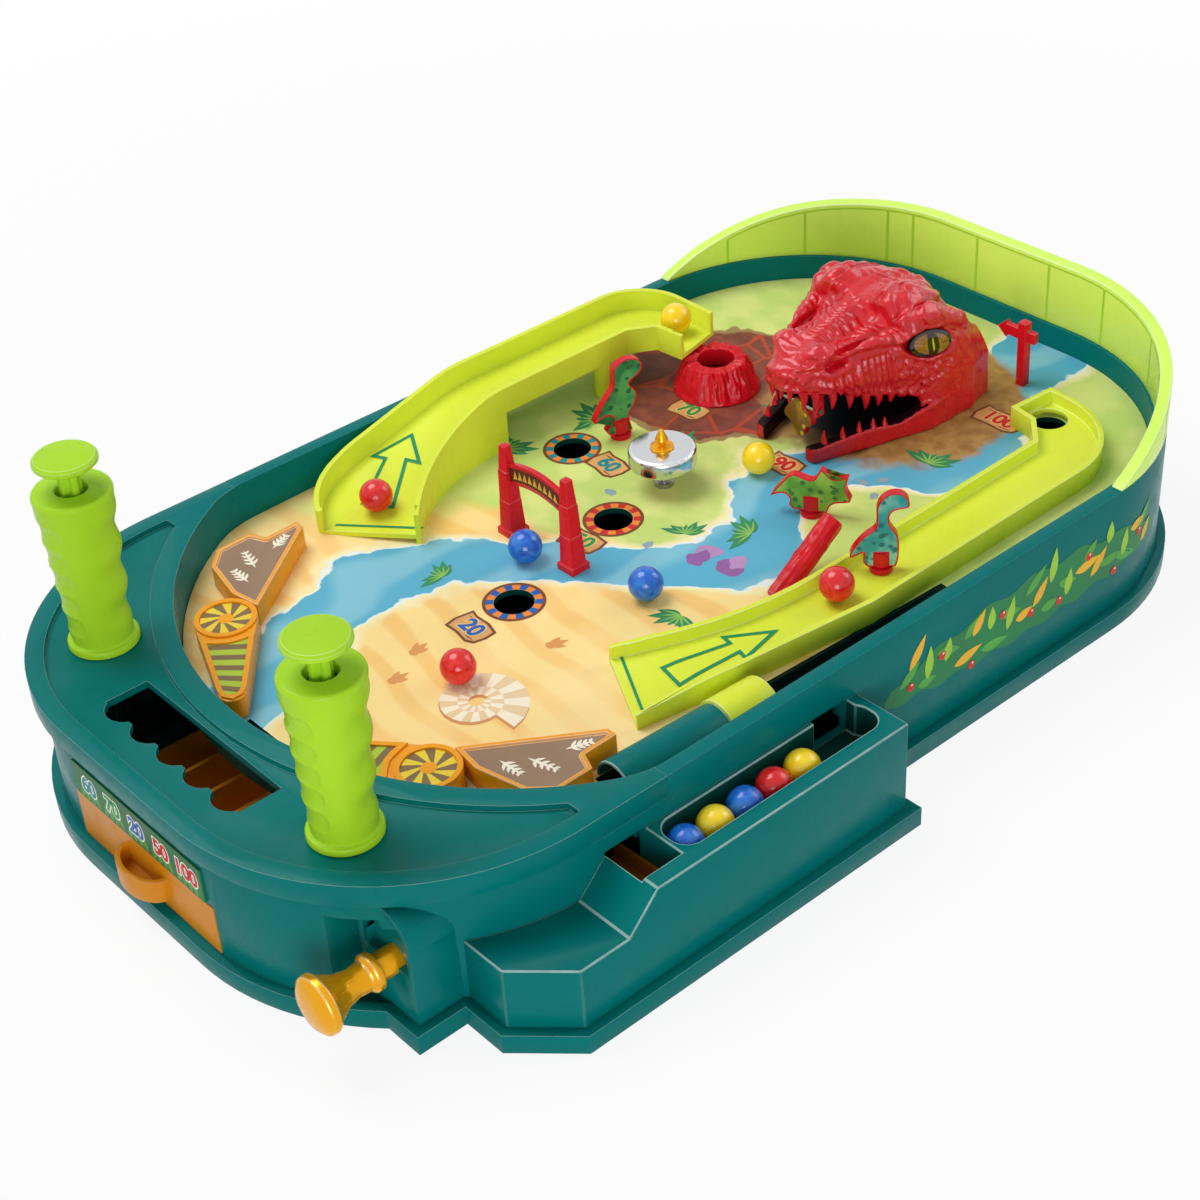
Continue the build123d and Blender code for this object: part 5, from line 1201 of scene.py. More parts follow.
def shield_seams(radius):
    """Panel lines on a face of the shield: one under its top and upright ones below that."""
    whole = math.pi * radius + REAR_FLAT

    def crown(along):
        return between(SHIELD_TOP, rear_place(along, radius, 0.0).y / MM) - UNDER_TOP

    seams = []
    stops = [whole * (SEAM_START + SEAM_SHARE * k / SEAM_STEPS) for k in range(SEAM_STEPS + 1)]
    for a, b in zip(stops, stops[1:]):
        high_a, high_b = crown(a), crown(b)
        seams.append([(a, high_a - TOP_LINE), (b, high_b - TOP_LINE), (b, high_b), (a, high_a)])
    for share in SHIELD_SEAMS:
        along = share * whole
        top = crown(along) - TOP_LINE
        if top > 66.0:
            left, right = along - SEAM_HALF, along + SEAM_HALF
            seams.append([(left, SEAM_FOOT), (right, SEAM_FOOT), (right, top), (left, top)])
    return seams


class PINBALL_OT_shield(bpy.types.Operator):
    """Moulds the arched back shield and the panel lines on its faces"""
    bl_idname = "pinball.shield"
    bl_label = "Back shield"

    def execute(self, context):
        shield = plastic("Shield plastic", colours().shield, 0.24, 0.4)
        soften("back_shield", 0.6 * MM, shield, "shield_plastic")
        groove = plastic("Shield seam plastic", paint(176, 226, 64), 0.3, 0.1)
        for face, radius, out in (("inner", INNER_RADIUS, -0.1), ("outer", OUTER_RADIUS, 0.1)):
            def stand(along, high, up, radius=radius, out=out):
                return rear_place(along, radius, out) + Vector((0, 0, high * MM))

            flat_print("shield_seams_" + face, shield_seams(radius), stand, groove,
                       slot="shield_plastic", up=0.0)
        return {"FINISHED"}


# ---------------------------------------------------------------- dinosaur head

# Points across, along and up from the field, and (along, value) rows of the head's outline.
BROW = ((13.8, 99.7, 41.3), (15.7, 106.4, 42.9), (18.4, 113.3, 43.7), (21.2, 120.9, 43.4),
        (23.6, 127.2, 42.4), (26.0, 133.6, 42.4), (26.8, 137.5, 44.2), (28.1, 144.1, 44.8),
        (28.7, 153.6, 42.8), (29.1, 161.4, 40.0), (29.2, 166.6, 37.1))
NOSTRIL = ((14.2, 100.6, 39.6), (16.3, 105.8, 40.8))
LIP = ((84.0, 31.0), (90.0, 28.2), (96.0, 28.2), (102.0, 26.4), (110.0, 23.8), (117.0, 20.6),
       (128.0, 18.8), (138.0, 15.2), (146.0, 0.0))
CAD_LIP = ((84.0, 26.4), (98.0, 24.9), (120.0, 22.5), (137.8, 16.8), (145.0, 0.0))
LIP_HALF = ((84.0, 8.3), (98.0, 13.0), (120.0, 20.2), (137.8, 27.7))
BROW_HALF = ((84.0, 10.1), (98.0, 14.0), (120.0, 20.5), (137.8, 26.3), (145.0, 27.7),
             (165.0, 27.7), (180.0, 22.7))
CREST_DROP = ((100.0, 0.0), (108.0, 5.0), (118.0, 8.5), (127.0, 8.0), (132.0, 3.0), (138.0, 2.6),
              (145.0, 4.4), (155.0, 6.2), (165.0, 8.0), (180.0, 11.0))
EYE_PLACE, EYE_HALF, EYE_SLANT = (29.4, 143.5, 38.4), (11.0, 5.5), 0.2
# Along and length of the upper teeth, and along, half width and length of the lower ones.
UPPER_TEETH = ((88.0, 7.6), (94.5, 7.8), (102.0, 8.0), (109.5, 7.4), (116.5, 7.0), (122.0, 5.8),
               (127.0, 4.6))
LOWER_TEETH = ((95.0, 16.2, 5.4), (102.5, 19.6, 4.8), (109.5, 22.2, 4.8), (115.5, 24.4, 4.6),
               (120.5, 26.2, 4.0))
FRONT_TEETH = (-5.0, 0.0, 5.0)
JAW_DIP = (126.0, 9.0)


def hide():
    """Glossy red moulding with small pebbled scales, and painted shade in its creases."""
    material, tree, shader = new_material("Scaly red plastic")
    made = finished(tree, shader, moulded_group(), {
        "Colour": (*colours().red, 1.0), "Gloss": 0.24, "Edge": 0.2, "Grain": 1200.0})
    place = surface_place(tree)
    scales = node(tree, "TexVoronoi", {"Vector": place, "Scale": 420.0, "Randomness": 0.9},
                  feature="DISTANCE_TO_EDGE").outputs[0]
    creases = grained(tree, place, 210, 4, 0.6)
    # Painted shade: the red darkens in the low creases of the bump.
    dark = ramped(tree, creases, 0.3, 0.5, 0.3, 0.0)
    shade = mixed(tree, dark, made["Colour"], paint(120, 8, 20))
    tree.links.new(shade, shader.inputs["Base Color"])
    height = calc(tree, "ADD", scaled(tree, ramped(tree, scales, 0.0, 0.25), 0.5), creases)
    bumped(tree, shader, height, 0.22, 0.6 * MM)
    set_sockets(shader, {"Specular IOR Level": 0.3, "Coat Weight": 0.35, "Coat Roughness": 0.12})
    return material


def nearest(line, place):
    """Distance from a place to a row of points, and the height over the nearest point on it."""
    point = Vector(place)
    best, over = math.inf, 0.0
    for a, b in zip(line, line[1:]):
        start, run = Vector(a), Vector(b) - Vector(a)
        share = min(1.0, max(0.0, (point - start).dot(run) / run.length_squared))
        close = start + run * share
        far = (point - close).length
        if far < best:
            best, over = far, point.z - close.z
    return best, over


def skull_bend(place):
    """Moves the head's skin to its outline: roofed snout, round nose, drooping lip, low back."""
    x, y, up = place
    side = abs(x)
    lip = between(CAD_LIP, y)
    dy = dup = 0.0
    if up > lip - 2.5 or y > 146:
        if y < 145:
            droop = (1 - smooth(lip + 1.0, lip + 11.0, up)) * (1 - smooth(137, 143, y))
            dup += (between(LIP, y) - lip) * droop
        share = side / between(BROW_HALF, y)
        flank = smooth(0.12, 0.5, share) * (1 - smooth(0.74, 1.0, share))
        dup -= between(CREST_DROP, y) * flank * smooth(30, 42, up)
        dup -= 9.0 * smooth(163, 181, y) * smooth(22, 44, up)
        dy += 6.5 * (min(side, 13.0) / 12.0) ** 2 * (1 - smooth(84, 100, y))
    elif y < 141:
        dup -= 0.27 * up * bell(y, *JAW_DIP)
    return 0.0, dy, dup


def brow_rise(y, far, over):
    """Knobbly brow ridge with a crease under it."""
    ridge = smooth(-0.8, 0.9, over) * (1 - smooth(1.5, 10.0, far)) * (1 - smooth(158, 168, y))
    crease = (1 - smooth(-1.6, -0.1, over)) * (1 - smooth(0.5, 6.0, far))
    knobs = math.sin(y * 1.9) * bell(over, 2.2, 1.8) * smooth(128, 136, y)
    return 2.1 * ridge - 1.3 * crease + 0.45 * knobs * (1 - smooth(4, 7, far))


def eye_rise(side, y, up):
    """Sunk eye socket with a raised lid round it."""
    if side <= 20:
        return 0.0
    along = y - EYE_PLACE[1]
    tall = up - EYE_PLACE[2] + EYE_SLANT * along
    share = math.hypot(along / EYE_HALF[0], tall / EYE_HALF[1])
    return 1.3 * bell(share, 1.24, 0.14) - 2.6 * (1 - smooth(0.9, 1.06, share))


def nose_rise(side, y, up):
    """Rimmed nostrils with a small lump over each."""
    pit, _ = nearest(NOSTRIL, (side, y, up))
    lump = math.hypot(side - 8.5, (y - 99.0) * 0.8, (up - 46.0) * 0.7)
    return bell(pit, 3.6, 1.3) - 3.6 * bell(pit, 0.0, 1.7) + 1.7 * bell(lump, 0.0, 5.0)


def snout_rise(side, y, up, wild):
    """Sunk ribbed panel with a rim on each side of the snout, and folds before it."""
    if side <= 12:
        return 0.0
    sunk = smooth(112.0, 113.4, y) * (1 - smooth(125.4, 126.8, y))
    sunk *= smooth(21.0, 23.0, up) * (1 - smooth(38.6, 40.4, up))
    rise = sunk * (0.5 * math.sin(y * 2.3 + wild * 3.0) - 1.2)
    rim = min(abs(y - 112.4), abs(y - 126.4)) if 21 < up < 41 else 9.0
    rise += 0.9 * bell(rim, 0.0, 1.0) * smooth(20, 23, up) * (1 - smooth(37, 41, up))
    fold = math.sin(y * 1.5 + 0.1 * up + wild * 2.0) * smooth(96, 101, y)
    return rise + 0.8 * fold * (1 - smooth(110, 112.5, y)) * (1 - smooth(33, 38, up))


def lip_rise(x, y, up, wild, lip):
    """Thick lip, and creases round the tip of the snout."""
    rise = 0.9 * bell(up, lip + 1.8, 1.7) * (1 - smooth(136, 142, y))
    if y < 97:
        rise += 0.5 * math.sin(x * 2.0) * (1 - smooth(90, 97, y)) * bell(up, 35.5, 3.2)
        rise += 0.5 * math.sin(up * 1.9 + wild * 4.0) * smooth(37, 40, up)
    return rise


def crown_rise(side, y, up, over, wild):
    """Wrinkles on the snout's top, rayed horns over the eyes and creases behind them."""
    top = smooth(0.5, 3.0, over) if y > 99 else smooth(40, 43, up)
    wrinkle = math.sin(y * 1.55 - 0.75 * side + 4.0 * wild)
    rise = 0.5 * wrinkle * top * smooth(99, 104, y) * (1 - smooth(128, 133, y))
    horn = smooth(130.0, 132.5, y) * (1 - smooth(154.0, 170.0, y))
    horn *= smooth(5.0, 10.0, side) * smooth(45.5, 49.0, up)
    rays = math.sin(1.5 * (side * 0.9 + (y - 130) * 0.25 + 2.5 * wild) + 0.9 * (up - 50))
    rise += horn * (3.9 + 0.8 * rays)
    crease = math.sin(y * 1.2 + side * 0.6 + 5 * wild) * smooth(140, 146, y) * top
    return rise + 0.5 * crease * (1 - horn) * (1 - smooth(160, 170, y))


def cheek_rise(x, y, up):
    """Pebbled scales on the cheek, and ribs behind them."""
    side = abs(x)
    floor = 16.5 + 0.62 * max(0.0, y - 138.0)
    ceiling = 36.0 - 0.2 * (y - 129.0)
    band = smooth(126.5, 129.0, y) * (1 - smooth(153, 158, y))
    band *= smooth(floor - 2.0, floor + 1.5, up) * (1 - smooth(ceiling - 2.0, ceiling + 0.5, up))
    cell = noise.voronoi(Vector((x, y, up)) * 0.235, distance_metric="DISTANCE", exponent=2.5)[0]
    rise = band * smooth(16, 20, side) * (1.5 * smooth(0.02, 0.4, cell[1] - cell[0]) - 0.5)
    ribs = math.sin(1.4 * (y + 0.35 * up)) * bell(y, 163.0, 6.0)
    return rise + 0.35 * ribs * smooth(20, 30, up) * smooth(18, 24, side)


def skull_shape(place, normal):
    """Swelling of the head's skin by all its features, and none inside its mouth."""
    x, y, up = place
    side, lip = abs(x), between(LIP, y)
    inside = normal.x * x + normal.z * (up - 14.0) < 0 and up < 44
    if inside or (up < lip - 3 and y < 141):
        return 0.0
    wild = noise.noise(Vector(place) * 0.11)
    far, over = nearest(BROW, (side, y, up))
    rise = brow_rise(y, far, over) + eye_rise(side, y, up) + nose_rise(side, y, up)
    rise += snout_rise(side, y, up, wild) + lip_rise(x, y, up, wild, lip)
    rise += crown_rise(side, y, up, over, wild) + cheek_rise(x, y, up)
    rise += 0.3 * wild + 0.14 * noise.noise(Vector(place) * 0.5)
    return rise * (0.3 if up < 4 else 1.0)


def in_mouth(place, normal):
    """1 for the painted shade on the mouth's inner faces and 0 for the hide."""
    x, y, up = place
    return int(normal.x * x + normal.z * (up - 16.0) < -2.0 and up < 36 and 88 < y < 176)


def tusk(foot, tip, radius, sides=8, rings=5):
    """Points and faces of one curved tooth."""
    axis = tip - foot
    upright = abs(axis.normalized().z) >= 0.9
    across = axis.cross(Vector((0, 1, 0) if upright else (0, 0, 1))).normalized()
    other = axis.normalized().cross(across)
    points = []
    for row in range(rings):
        t = row / rings
        wide = radius * (1 - t) ** 0.75
        middle = foot + axis * t + across * (radius * 0.35 * math.sin(math.pi * t))
        for side in range(sides):
            a = FULL_TURN * side / sides
            points.append(middle + across * (wide * math.cos(a)) + other * (wide * math.sin(a)))
    points.append(tip)
    faces, last = ring_faces(rings, sides), (rings - 1) * sides
    faces += [(last + side, last + (side + 1) % sides, len(points) - 1) for side in range(sides)]
    faces.append(tuple(range(sides - 1, -1, -1)))
    return points, faces


def head_teeth():
    """Points and faces of the upper, lower and front teeth."""
    teeth = []
    for side, _ in SIDES:
        for y, long in UPPER_TEETH:
            half, lip = between(LIP_HALF, y) - 0.6, between(LIP, y)
            along = y + 2.0 * (y < 92)
            teeth.append(tusk(on_field(side * half, along, lip + 2.4),
                              on_field(side * (half - 0.2), along, lip - long), 2.4 * MM))
        for y, half, long in LOWER_TEETH:
            foot = 6.4 + 0.066 * (y - 92.0) - 1.6 * bell(y, *JAW_DIP)
            tip = on_field(side * (half - 0.4), y + 0.3, foot + long + 1.2)
            teeth.append(tusk(on_field(side * half, y, foot), tip, 1.5 * MM))
    for x in FRONT_TEETH:
        teeth.append(tusk(on_field(x, 86.4, 33.0), on_field(x * 0.95, 86.0, 25.0), 1.8 * MM))
    return joined(teeth)


def eye_material():
    """Gold almond eye with a dark slit pupil, a streaked iris and a black rim."""
    material, tree, shader = new_material("Gold eye")
    split = node(tree, "SeparateXYZ", {0: surface_place(tree)}).outputs
    middle = on_field(*EYE_PLACE)
    along = scaled(tree, calc(tree, "SUBTRACT", split[1], middle.y), 1 / MM)
    over = scaled(tree, calc(tree, "SUBTRACT", split[2], middle.z), 1 / MM)
    over = calc(tree, "ADD", over, scaled(tree, along, EYE_SLANT))
    spin = scaled(tree, calc(tree, "ARCTAN2", over, along), 6.0)
    streak = node(tree, "TexNoise", {"W": spin, "Scale": 1.8}, noise_dimensions="1D").outputs[0]
    iris = mixed(tree, ramped(tree, streak, 0.35, 0.65), paint(178, 118, 24), paint(118, 70, 16))
    for half_along, half_over, low, high, colour in (
            (4.6, 4.6, 1.0, 0.5, paint(206, 150, 40)), (3.1, 5.6, 1.1, 0.9, paint(14, 10, 8)),
            (0.45, 3.0, 1.2, 0.8, paint(232, 190, 40)), (*EYE_HALF, 0.8, 0.84, paint(14, 6, 8))):
        share = length_of(tree, calc(tree, "DIVIDE", along, half_along),
                          calc(tree, "DIVIDE", over, half_over))
        iris = mixed(tree, ramped(tree, share, low, high), iris, colour)
    tree.links.new(iris, shader.inputs["Base Color"])
    tree.links.new(ramped(tree, streak, 0.2, 0.8, 0.1, 0.2), shader.inputs["Roughness"])
    set_sockets(shader, {"Coat Weight": 0.4})
    return material


class PINBALL_OT_head(bpy.types.Operator):
    """Carves the dinosaur head with its brows, scales and folds, and sets its teeth and eyes"""
    bl_idname = "pinball.head"
    bl_label = "Dinosaur head"

    def execute(self, context):
        # Near black painted shade for the faces inside the mouth.
        dark = plastic("Mouth dark plastic", paint(24, 6, 12), 0.5, 0.1, shine=0.1)
        carve("dino_head", 0.7 * MM, 7, skull_shape, [hide(), dark], "red_plastic",
              choose=in_mouth, bend=skull_bend)
        add_piece("teeth", built("teeth", *head_teeth()), red(), "body", "red_plastic", 60,
                  "dino_teeth")
        dress("dino_eyes", eye_material())
        return {"FINISHED"}


# ---------------------------------------------------------------- volcano, log, gate and sign

VOLCANO = (-58.6, 105.6)
SIGN_X, SIGN_Y, SIGN_HALF = -19.1, -27.5, 18.2
BANNER_HALF, BANNER_STEPS, ZIGZAG_HALF, ZIGZAG_TEETH = 0.86, 24, 0.74, 9


def round_noise(turn, scale, height):
    """Noise that goes round a form without a seam."""
    return noise.noise(Vector((math.cos(turn) * scale, math.sin(turn) * scale, height)))


def cone_shape(place, normal):
    """Torn flutes on the volcano's sides and a lumpy rim."""
    x, y, up = place
    dx, dy = x - VOLCANO[0], y - VOLCANO[1]
    if math.hypot(dx, dy) < 8.6 or up < 0.4:
        return 0.0
    turn = math.atan2(dy, dx)
    flutes, fine = round_noise(turn, 5.5, up * 0.05), round_noise(turn, 15, up * 0.22)
    rim = round_noise(turn, 8, 3.0)
    return (1.5 * flutes + 0.9 * fine) * smooth(0.4, 3.0, up) + 1.3 * rim * smooth(10, 13.5, up)


def bark_shape(place, normal):
    """Furrows along the log."""
    _, y, up = place
    furrow = round_noise(math.atan2(normal.z, normal.x), 3.2, (y + up) * 0.06)
    return 0.55 * furrow + 0.4 * noise.noise(Vector(place) * 0.28)


def banner_outlines():
    """The arched banner in short lengths, and a row of teeth on it, as shares of its size."""
    banner, zigzag = [], []
    for k in range(BANNER_STEPS):
        a, b = (-BANNER_HALF + 2 * BANNER_HALF * end / BANNER_STEPS for end in (k, k + 1))
        banner.append([(a, 0.2), (b, 0.2), (b, 0.84), (a, 0.84)])
    for k in range(ZIGZAG_TEETH):
        a = -ZIGZAG_HALF + 2 * ZIGZAG_HALF * k / ZIGZAG_TEETH
        b = a + 2 * ZIGZAG_HALF / ZIGZAG_TEETH
        zigzag.append([(a + 0.01, 0.32), (b - 0.01, 0.32), ((a + b) / 2, 0.72)])
    return banner, zigzag


class PINBALL_OT_ground_pieces(bpy.types.Operator):
    """Carves the volcano and the log, and moulds the gate and the sign"""
    bl_idname = "pinball.ground_pieces"
    bl_label = "Volcano, log, gate and sign"

    def execute(self, context):
        lava = plastic("Volcano red plastic", colours().red, 0.26, 0.2, 1400.0, 0.4)
        carve("volcano", 0.55 * MM, 3, cone_shape, lava, "red_plastic")
        carve("leaning_log", 0.45 * MM, 3, bark_shape, lava, "red_plastic")
        for name in ("gate", "sign_post"):
            soften(name, sizes().fine_edge, red(), "red_plastic")
        banner, zigzag = banner_outlines()
        for face, way in (("front", -1.0), ("back", 1.0)):
            def hang(across, along, up, way=way):
                arch = 23.0 + 4.0 * (1 - across * across) + 9.5 * along
                return on_field(SIGN_X + across * SIGN_HALF, SIGN_Y + way * (1.0 + up), arch)

            flat_print("banner_" + face, banner, hang, ink("Banner ink", paint(92, 40, 24)),
                       slot="red_plastic", up=0.05)
            flat_print("banner_zigzag_" + face, zigzag, hang, ink("Gold ink", paint(226, 178, 60)),
                       slot="red_plastic", up=0.1)
        return {"FINISHED"}


# ---------------------------------------------------------------- guides and flippers

# Across, along, reach and aim of each frond.
GUIDE_FRONDS = ((82.0, -120.0, 14.0, 0.25), (76.0, -127.5, 12.0, 0.05), (88.0, -108.0, 11.0, 1.2))
FLIPPER_X, FLIPPER_Y = 62.0, -147.3
FLIPPER_AIM = {"left": math.radians(-31.0), "right": math.radians(211.0)}
FLIPPER_REACH, HUB_RADIUS, TIP_RADIUS = 46.0, 12.0, 5.0
RIM_LOW, RIM_HIGH, RIM_INNER = 9.4, 10.3, 0.83
RAYS, RAY_INNER, RAY_OUTER, RAY_TWIST = 16, 2.6, 9.9, 0.5
BARS, BAR_START, BAR_STEP, BAR_WIDTH, BAR_LEAN, BAR_EDGE = 5, 15.2, 6.4, 3.0, 3.0, 2.0


def on_guide_panel(centre, normal):
    """1 for the sunk panel of a guide and 0 for its frame."""
    return int(normal.z > 0.9 and 8.4 < field_place(centre)[2] < 9.6)


def guide_fronds():
    """Outlines of the right guide's fronds: a stalk and pairs of ever shorter leaves."""
    fronds = []
    for x, y, reach, aim in GUIDE_FRONDS:
        fronds.append(moved(leaf(reach, 1.3), x, y, aim))
        for k in range(4):
            spot = round_point(x, y, reach * (0.2 + 0.2 * k), aim)
            for lean in (-0.8, 0.8):
                fronds.append(moved(leaf(4.2 - 0.6 * k, 1.3), *spot, aim + lean))
    return fronds


class PINBALL_OT_guides(bpy.types.Operator):
    """Moulds the two guides and prints their sunk panels"""
    bl_idname = "pinball.guides"
    bl_label = "Guides"

    def execute(self, context):
        panel = ink("Inlay ink", colours().inlay, 0.3)
        cream = ink("Pale frond ink", paint(246, 238, 216))
        for side, name in SIDES:
            soften(name + "_guide", 0.4 * MM, [orange(), panel], "orange_plastic",
                   choose=on_guide_panel)
            fronds = [[(side * x, y) for x, y in loop] for loop in guide_fronds()]
            flat_print(name + "_guide_fronds", fronds, on_field, cream, slot="orange_plastic",
                       up=9.08)
        return {"FINISHED"}


def arm_half(x):
    """Half the width of a flipper's arm at a distance from its hub."""
    lean = math.asin((HUB_RADIUS - TIP_RADIUS) / FLIPPER_REACH)
    return (HUB_RADIUS - x * math.sin(lean)) / math.cos(lean)


def arm_outline(upper, tip, foot, foot_middle):
    """Outline of a flipper's arm from its upper edge, its tip and its hollow foot."""
    lower = [(x, -y) for x, y in reversed(upper)]
    return lower + [(tip, 0.0)] + upper + [(foot, 4.0), (foot_middle, 0.0), (foot, -4.0)]


def wall_ring(outer, inside, place):
    """Points and faces of a raised frame between two outlines."""
    count = len(outer)
    loops = ((outer, RIM_LOW), (outer, RIM_HIGH), (inside, RIM_HIGH), (inside, RIM_LOW))
    points = [place(x, y, up) for loop, up in loops for x, y in loop]
    faces = ring_faces(4, count)
    for k in range(count):
        after = (k + 1) % count
        faces.append((3 * count + k, 3 * count + after, after, k))
    return points, faces


def hub_rays():
    """Outlines of the twisted rays on a flipper's hub."""
    rays = []
    for k in range(RAYS):
        a, b = (FULL_TURN * end / RAYS for end in (k, k + 1))
        corners = ((RAY_INNER, a), (RAY_OUTER, a + RAY_TWIST), (RAY_OUTER, b + RAY_TWIST),
                   (RAY_INNER, b))
        rays.append([round_point(0.0, 0.0, radius, angle) for radius, angle in corners])
    return rays


def arm_bars():
    """Outlines of the slanted bars on a flipper's arm."""
    bars = []
    for k in range(BARS):
        a = BAR_START + k * BAR_STEP
        b = a + BAR_WIDTH
        low = [(x, -arm_half(x) + BAR_EDGE) for x in (a, b)]
        high = [(x, arm_half(x) - BAR_EDGE) for x in (b + BAR_LEAN, a + BAR_LEAN)]
        bars.append(low + high)
    return bars


class PINBALL_OT_flippers(bpy.types.Operator):
    """Moulds the flippers with a raised frame round a rayed hub and a striped arm"""
    bl_idname = "pinball.flippers"
    bl_label = "Flippers"

    def execute(self, context):
        yellow = ink("Hub ink", paint(236, 206, 60))
        brown = ink("Stripe ink", paint(128, 104, 70))
        green = ink("Arm ink", paint(176, 200, 60))
        disc = circle(0.0, 0.0, HUB_RADIUS, 20)
        inner_disc = [(x * RIM_INNER, y * RIM_INNER) for x, y in disc]
        arm = arm_outline([(48.2, 3.9), (44.0, arm_half(44.0)), (11.5, arm_half(11.5) * 0.99)],
                          50.6, 13.4, 14.2)
        inner_arm = arm_outline([(46.6, 2.6), (43.4, arm_half(43.4) - 1.9),
                                 (14.6, arm_half(14.6) - 2.1)], 48.4, 15.8, 16.4)
        for side, name in SIDES:
            body, frame_name = name + "_flipper", name + "_flipper_frame"
            soften(body, sizes().part_edge, orange(), "orange_plastic", body)
            place = turned(side * FLIPPER_X, FLIPPER_Y, FLIPPER_AIM[name])
            rims = joined([wall_ring(disc, inner_disc, place), wall_ring(arm, inner_arm, place)])
            add_piece(frame_name, built(frame_name, *rims), orange(), body, "orange_plastic", 30)
            for part, outlines, tones, up in (
                    ("_hub_rays", hub_rays(), [yellow, brown], 9.58),
                    ("_hub_boss", [oval(0, 0, 3.0, 3.0)], [orange()], 9.62),
                    ("_arm_ground", [inner_arm], [green], 9.56),
                    ("_arm_bars", arm_bars(), [brown], 9.6)):
                flat_print(name + part, outlines, place, tones, body, "orange_plastic", up,
                           lambda number, kinds=len(tones): number % kinds)
            for inside in ("_flipper_shaft", "_slider"):
                dress(name + inside, inner())
        return {"FINISHED"}


# ---------------------------------------------------------------- grips, buttons and plunger

GRIP_X, GRIP_Y, GRIP_SIDES, GRIP_ROWS = 75.0, -191.0, 128, 84
FINGER_AIM, PALM_AIM, FINGERS = 232, 50, 5
BUTTON_SKIRT = 56.0 * MM
COIL_STEPS, WIRE_SIDES = 20, 8


def coil(name, axis, radius, wire, turns, joint):
    """A wound return spring in place of its sleeve, shortening towards its low end.

    Its end turns lie close.
    """
    low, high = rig.box(name)
    along = Vector(axis)
    length = (high - low).dot(along)
    seat = (low + high) / 2 - along * length / 2
    side = along.orthogonal().normalized()
    other = along.cross(side)
    close, rows = 2.2 * wire, turns * COIL_STEPS + 1
    points = []
    for row in range(rows):
        turn = row / COIL_STEPS
        ends = (min(turn, 1.0) + max(turn - turns + 1, 0.0)) * close
        middle = (length - 2 * wire - 2 * close) * min(max(turn - 1, 0.0) / (turns - 2), 1.0)
        out = math.cos(FULL_TURN * turn) * side + math.sin(FULL_TURN * turn) * other
        for k in range(WIRE_SIDES):
            bend = FULL_TURN * k / WIRE_SIDES
            points.append(seat + (wire + ends + middle + wire * math.sin(bend)) * along
                          + (radius + wire * math.cos(bend)) * out)
    faces = [(a, d, c, b) for a, b, c, d in ring_faces(rows, WIRE_SIDES)]
    last = (rows - 1) * WIRE_SIDES
    faces += [tuple(range(WIRE_SIDES)), tuple(last + k for k in reversed(range(WIRE_SIDES)))]
    mesh = built(name + "_coil", points, faces)
    piece = add_piece(name + "_coil", mesh, steel(), "body", "spring_steel", 60, name)
    travel = next(j for j in frame["joints"] if j["name"] == joint)["range_m"][1]
    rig.squash(piece, joint, axis=axis, anchor=tuple(seat), keep=1 - travel / length)


def grip_rings(low, high):
    """Radius and height of a hand grip's rings: a foot ring, a flared handle and a top rim."""
    foot = [(6.0, low), (12.7, low), (13.2, low + 0.5), (13.2, low + 2.5), (12.8, low + 3.0),
            (11.7, low + 3.2)]
    handle = []
    for k in range(GRIP_ROWS + 1):
        t = k / GRIP_ROWS
        handle.append((11.3 + 3.3 * t ** 0.85, low + 3.6 + (high - low - 5.2) * t))
    rim = [(14.35, high - 0.7), (13.9, high - 0.2), (13.2, high), (6.3, high), (5.9, high - 0.4),
           (5.8, high - 5.0)]
    return foot + handle + rim


def away_from(turn, aim):
    """Degrees between a turn in radians and an aim in degrees."""
    return math.degrees(abs((turn - math.radians(aim) + math.pi) % FULL_TURN - math.pi))


def gripped(radius, share, turn):
    """A grip's radius with round-ended finger grooves, and waves that fit the palm."""
    ends = max(0.0, away_from(turn, FINGER_AIM) - 62.0) / 11.0
    dip = 0.0
    for k in range(FINGERS):
        over = share - 0.15 - 0.164 * k
        reach = math.sqrt((over / 0.07) ** 2 + ends ** 2)
        dip = max(dip, math.sqrt(max(0.0, 1 - reach * reach)))
        if ends > 0.1:
            radius += 0.3 * bell(reach, 1.1, 0.14) * (1.0 if over > 0 else 0.2)
    wave = 0.5 - 0.5 * math.cos(FULL_TURN * (share - 0.35) / 0.275)
    edge = smooth(0.0, 0.12, share) * (1 - smooth(0.9, 1.0, share))
    palm = 1 - smooth(28.0, 78.0, away_from(turn, PALM_AIM))
    return radius - sizes().groove / MM * dip - 1.5 * wave * edge * palm


class PINBALL_OT_grips(bpy.types.Operator):
    """Turns the hand grips with their finger grooves, and moulds the thumb buttons"""
    bl_idname = "pinball.grips"
    bl_label = "Grips and buttons"

    def execute(self, context):
        for side, name in SIDES:
            grip, button = name + "_grip", name + "_button"
            middle = Vector((side * GRIP_X, GRIP_Y, 0.0)) * MM
            low, high = (corner[2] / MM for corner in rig.box(grip))

            def handle(radius, height, turn, low=low, high=high):
                share = (height - low - 4.0) / (high - low - 6.0)
                if not 0.0 < share < 1.0 or radius < 9:
                    return radius, height
                return gripped(radius, share, turn), height

            points, faces = lathe(grip_rings(low, high), GRIP_SIDES, handle)
            mesh = built(grip, [point * MM + middle for point in points], faces)
            add_piece(grip + "_turning", mesh, lime(), "body", "lime_plastic", 40, grip)
            soften(button, sizes().part_edge, [lime(), inner()], "lime_plastic", button,
                   choose=lambda centre, normal: int(centre.z < BUTTON_SKIRT))
            coil(button + "_spring", (0, 0, 1), 5.5 * MM, 0.75 * MM, 12, button + "_press")
        return {"FINISHED"}


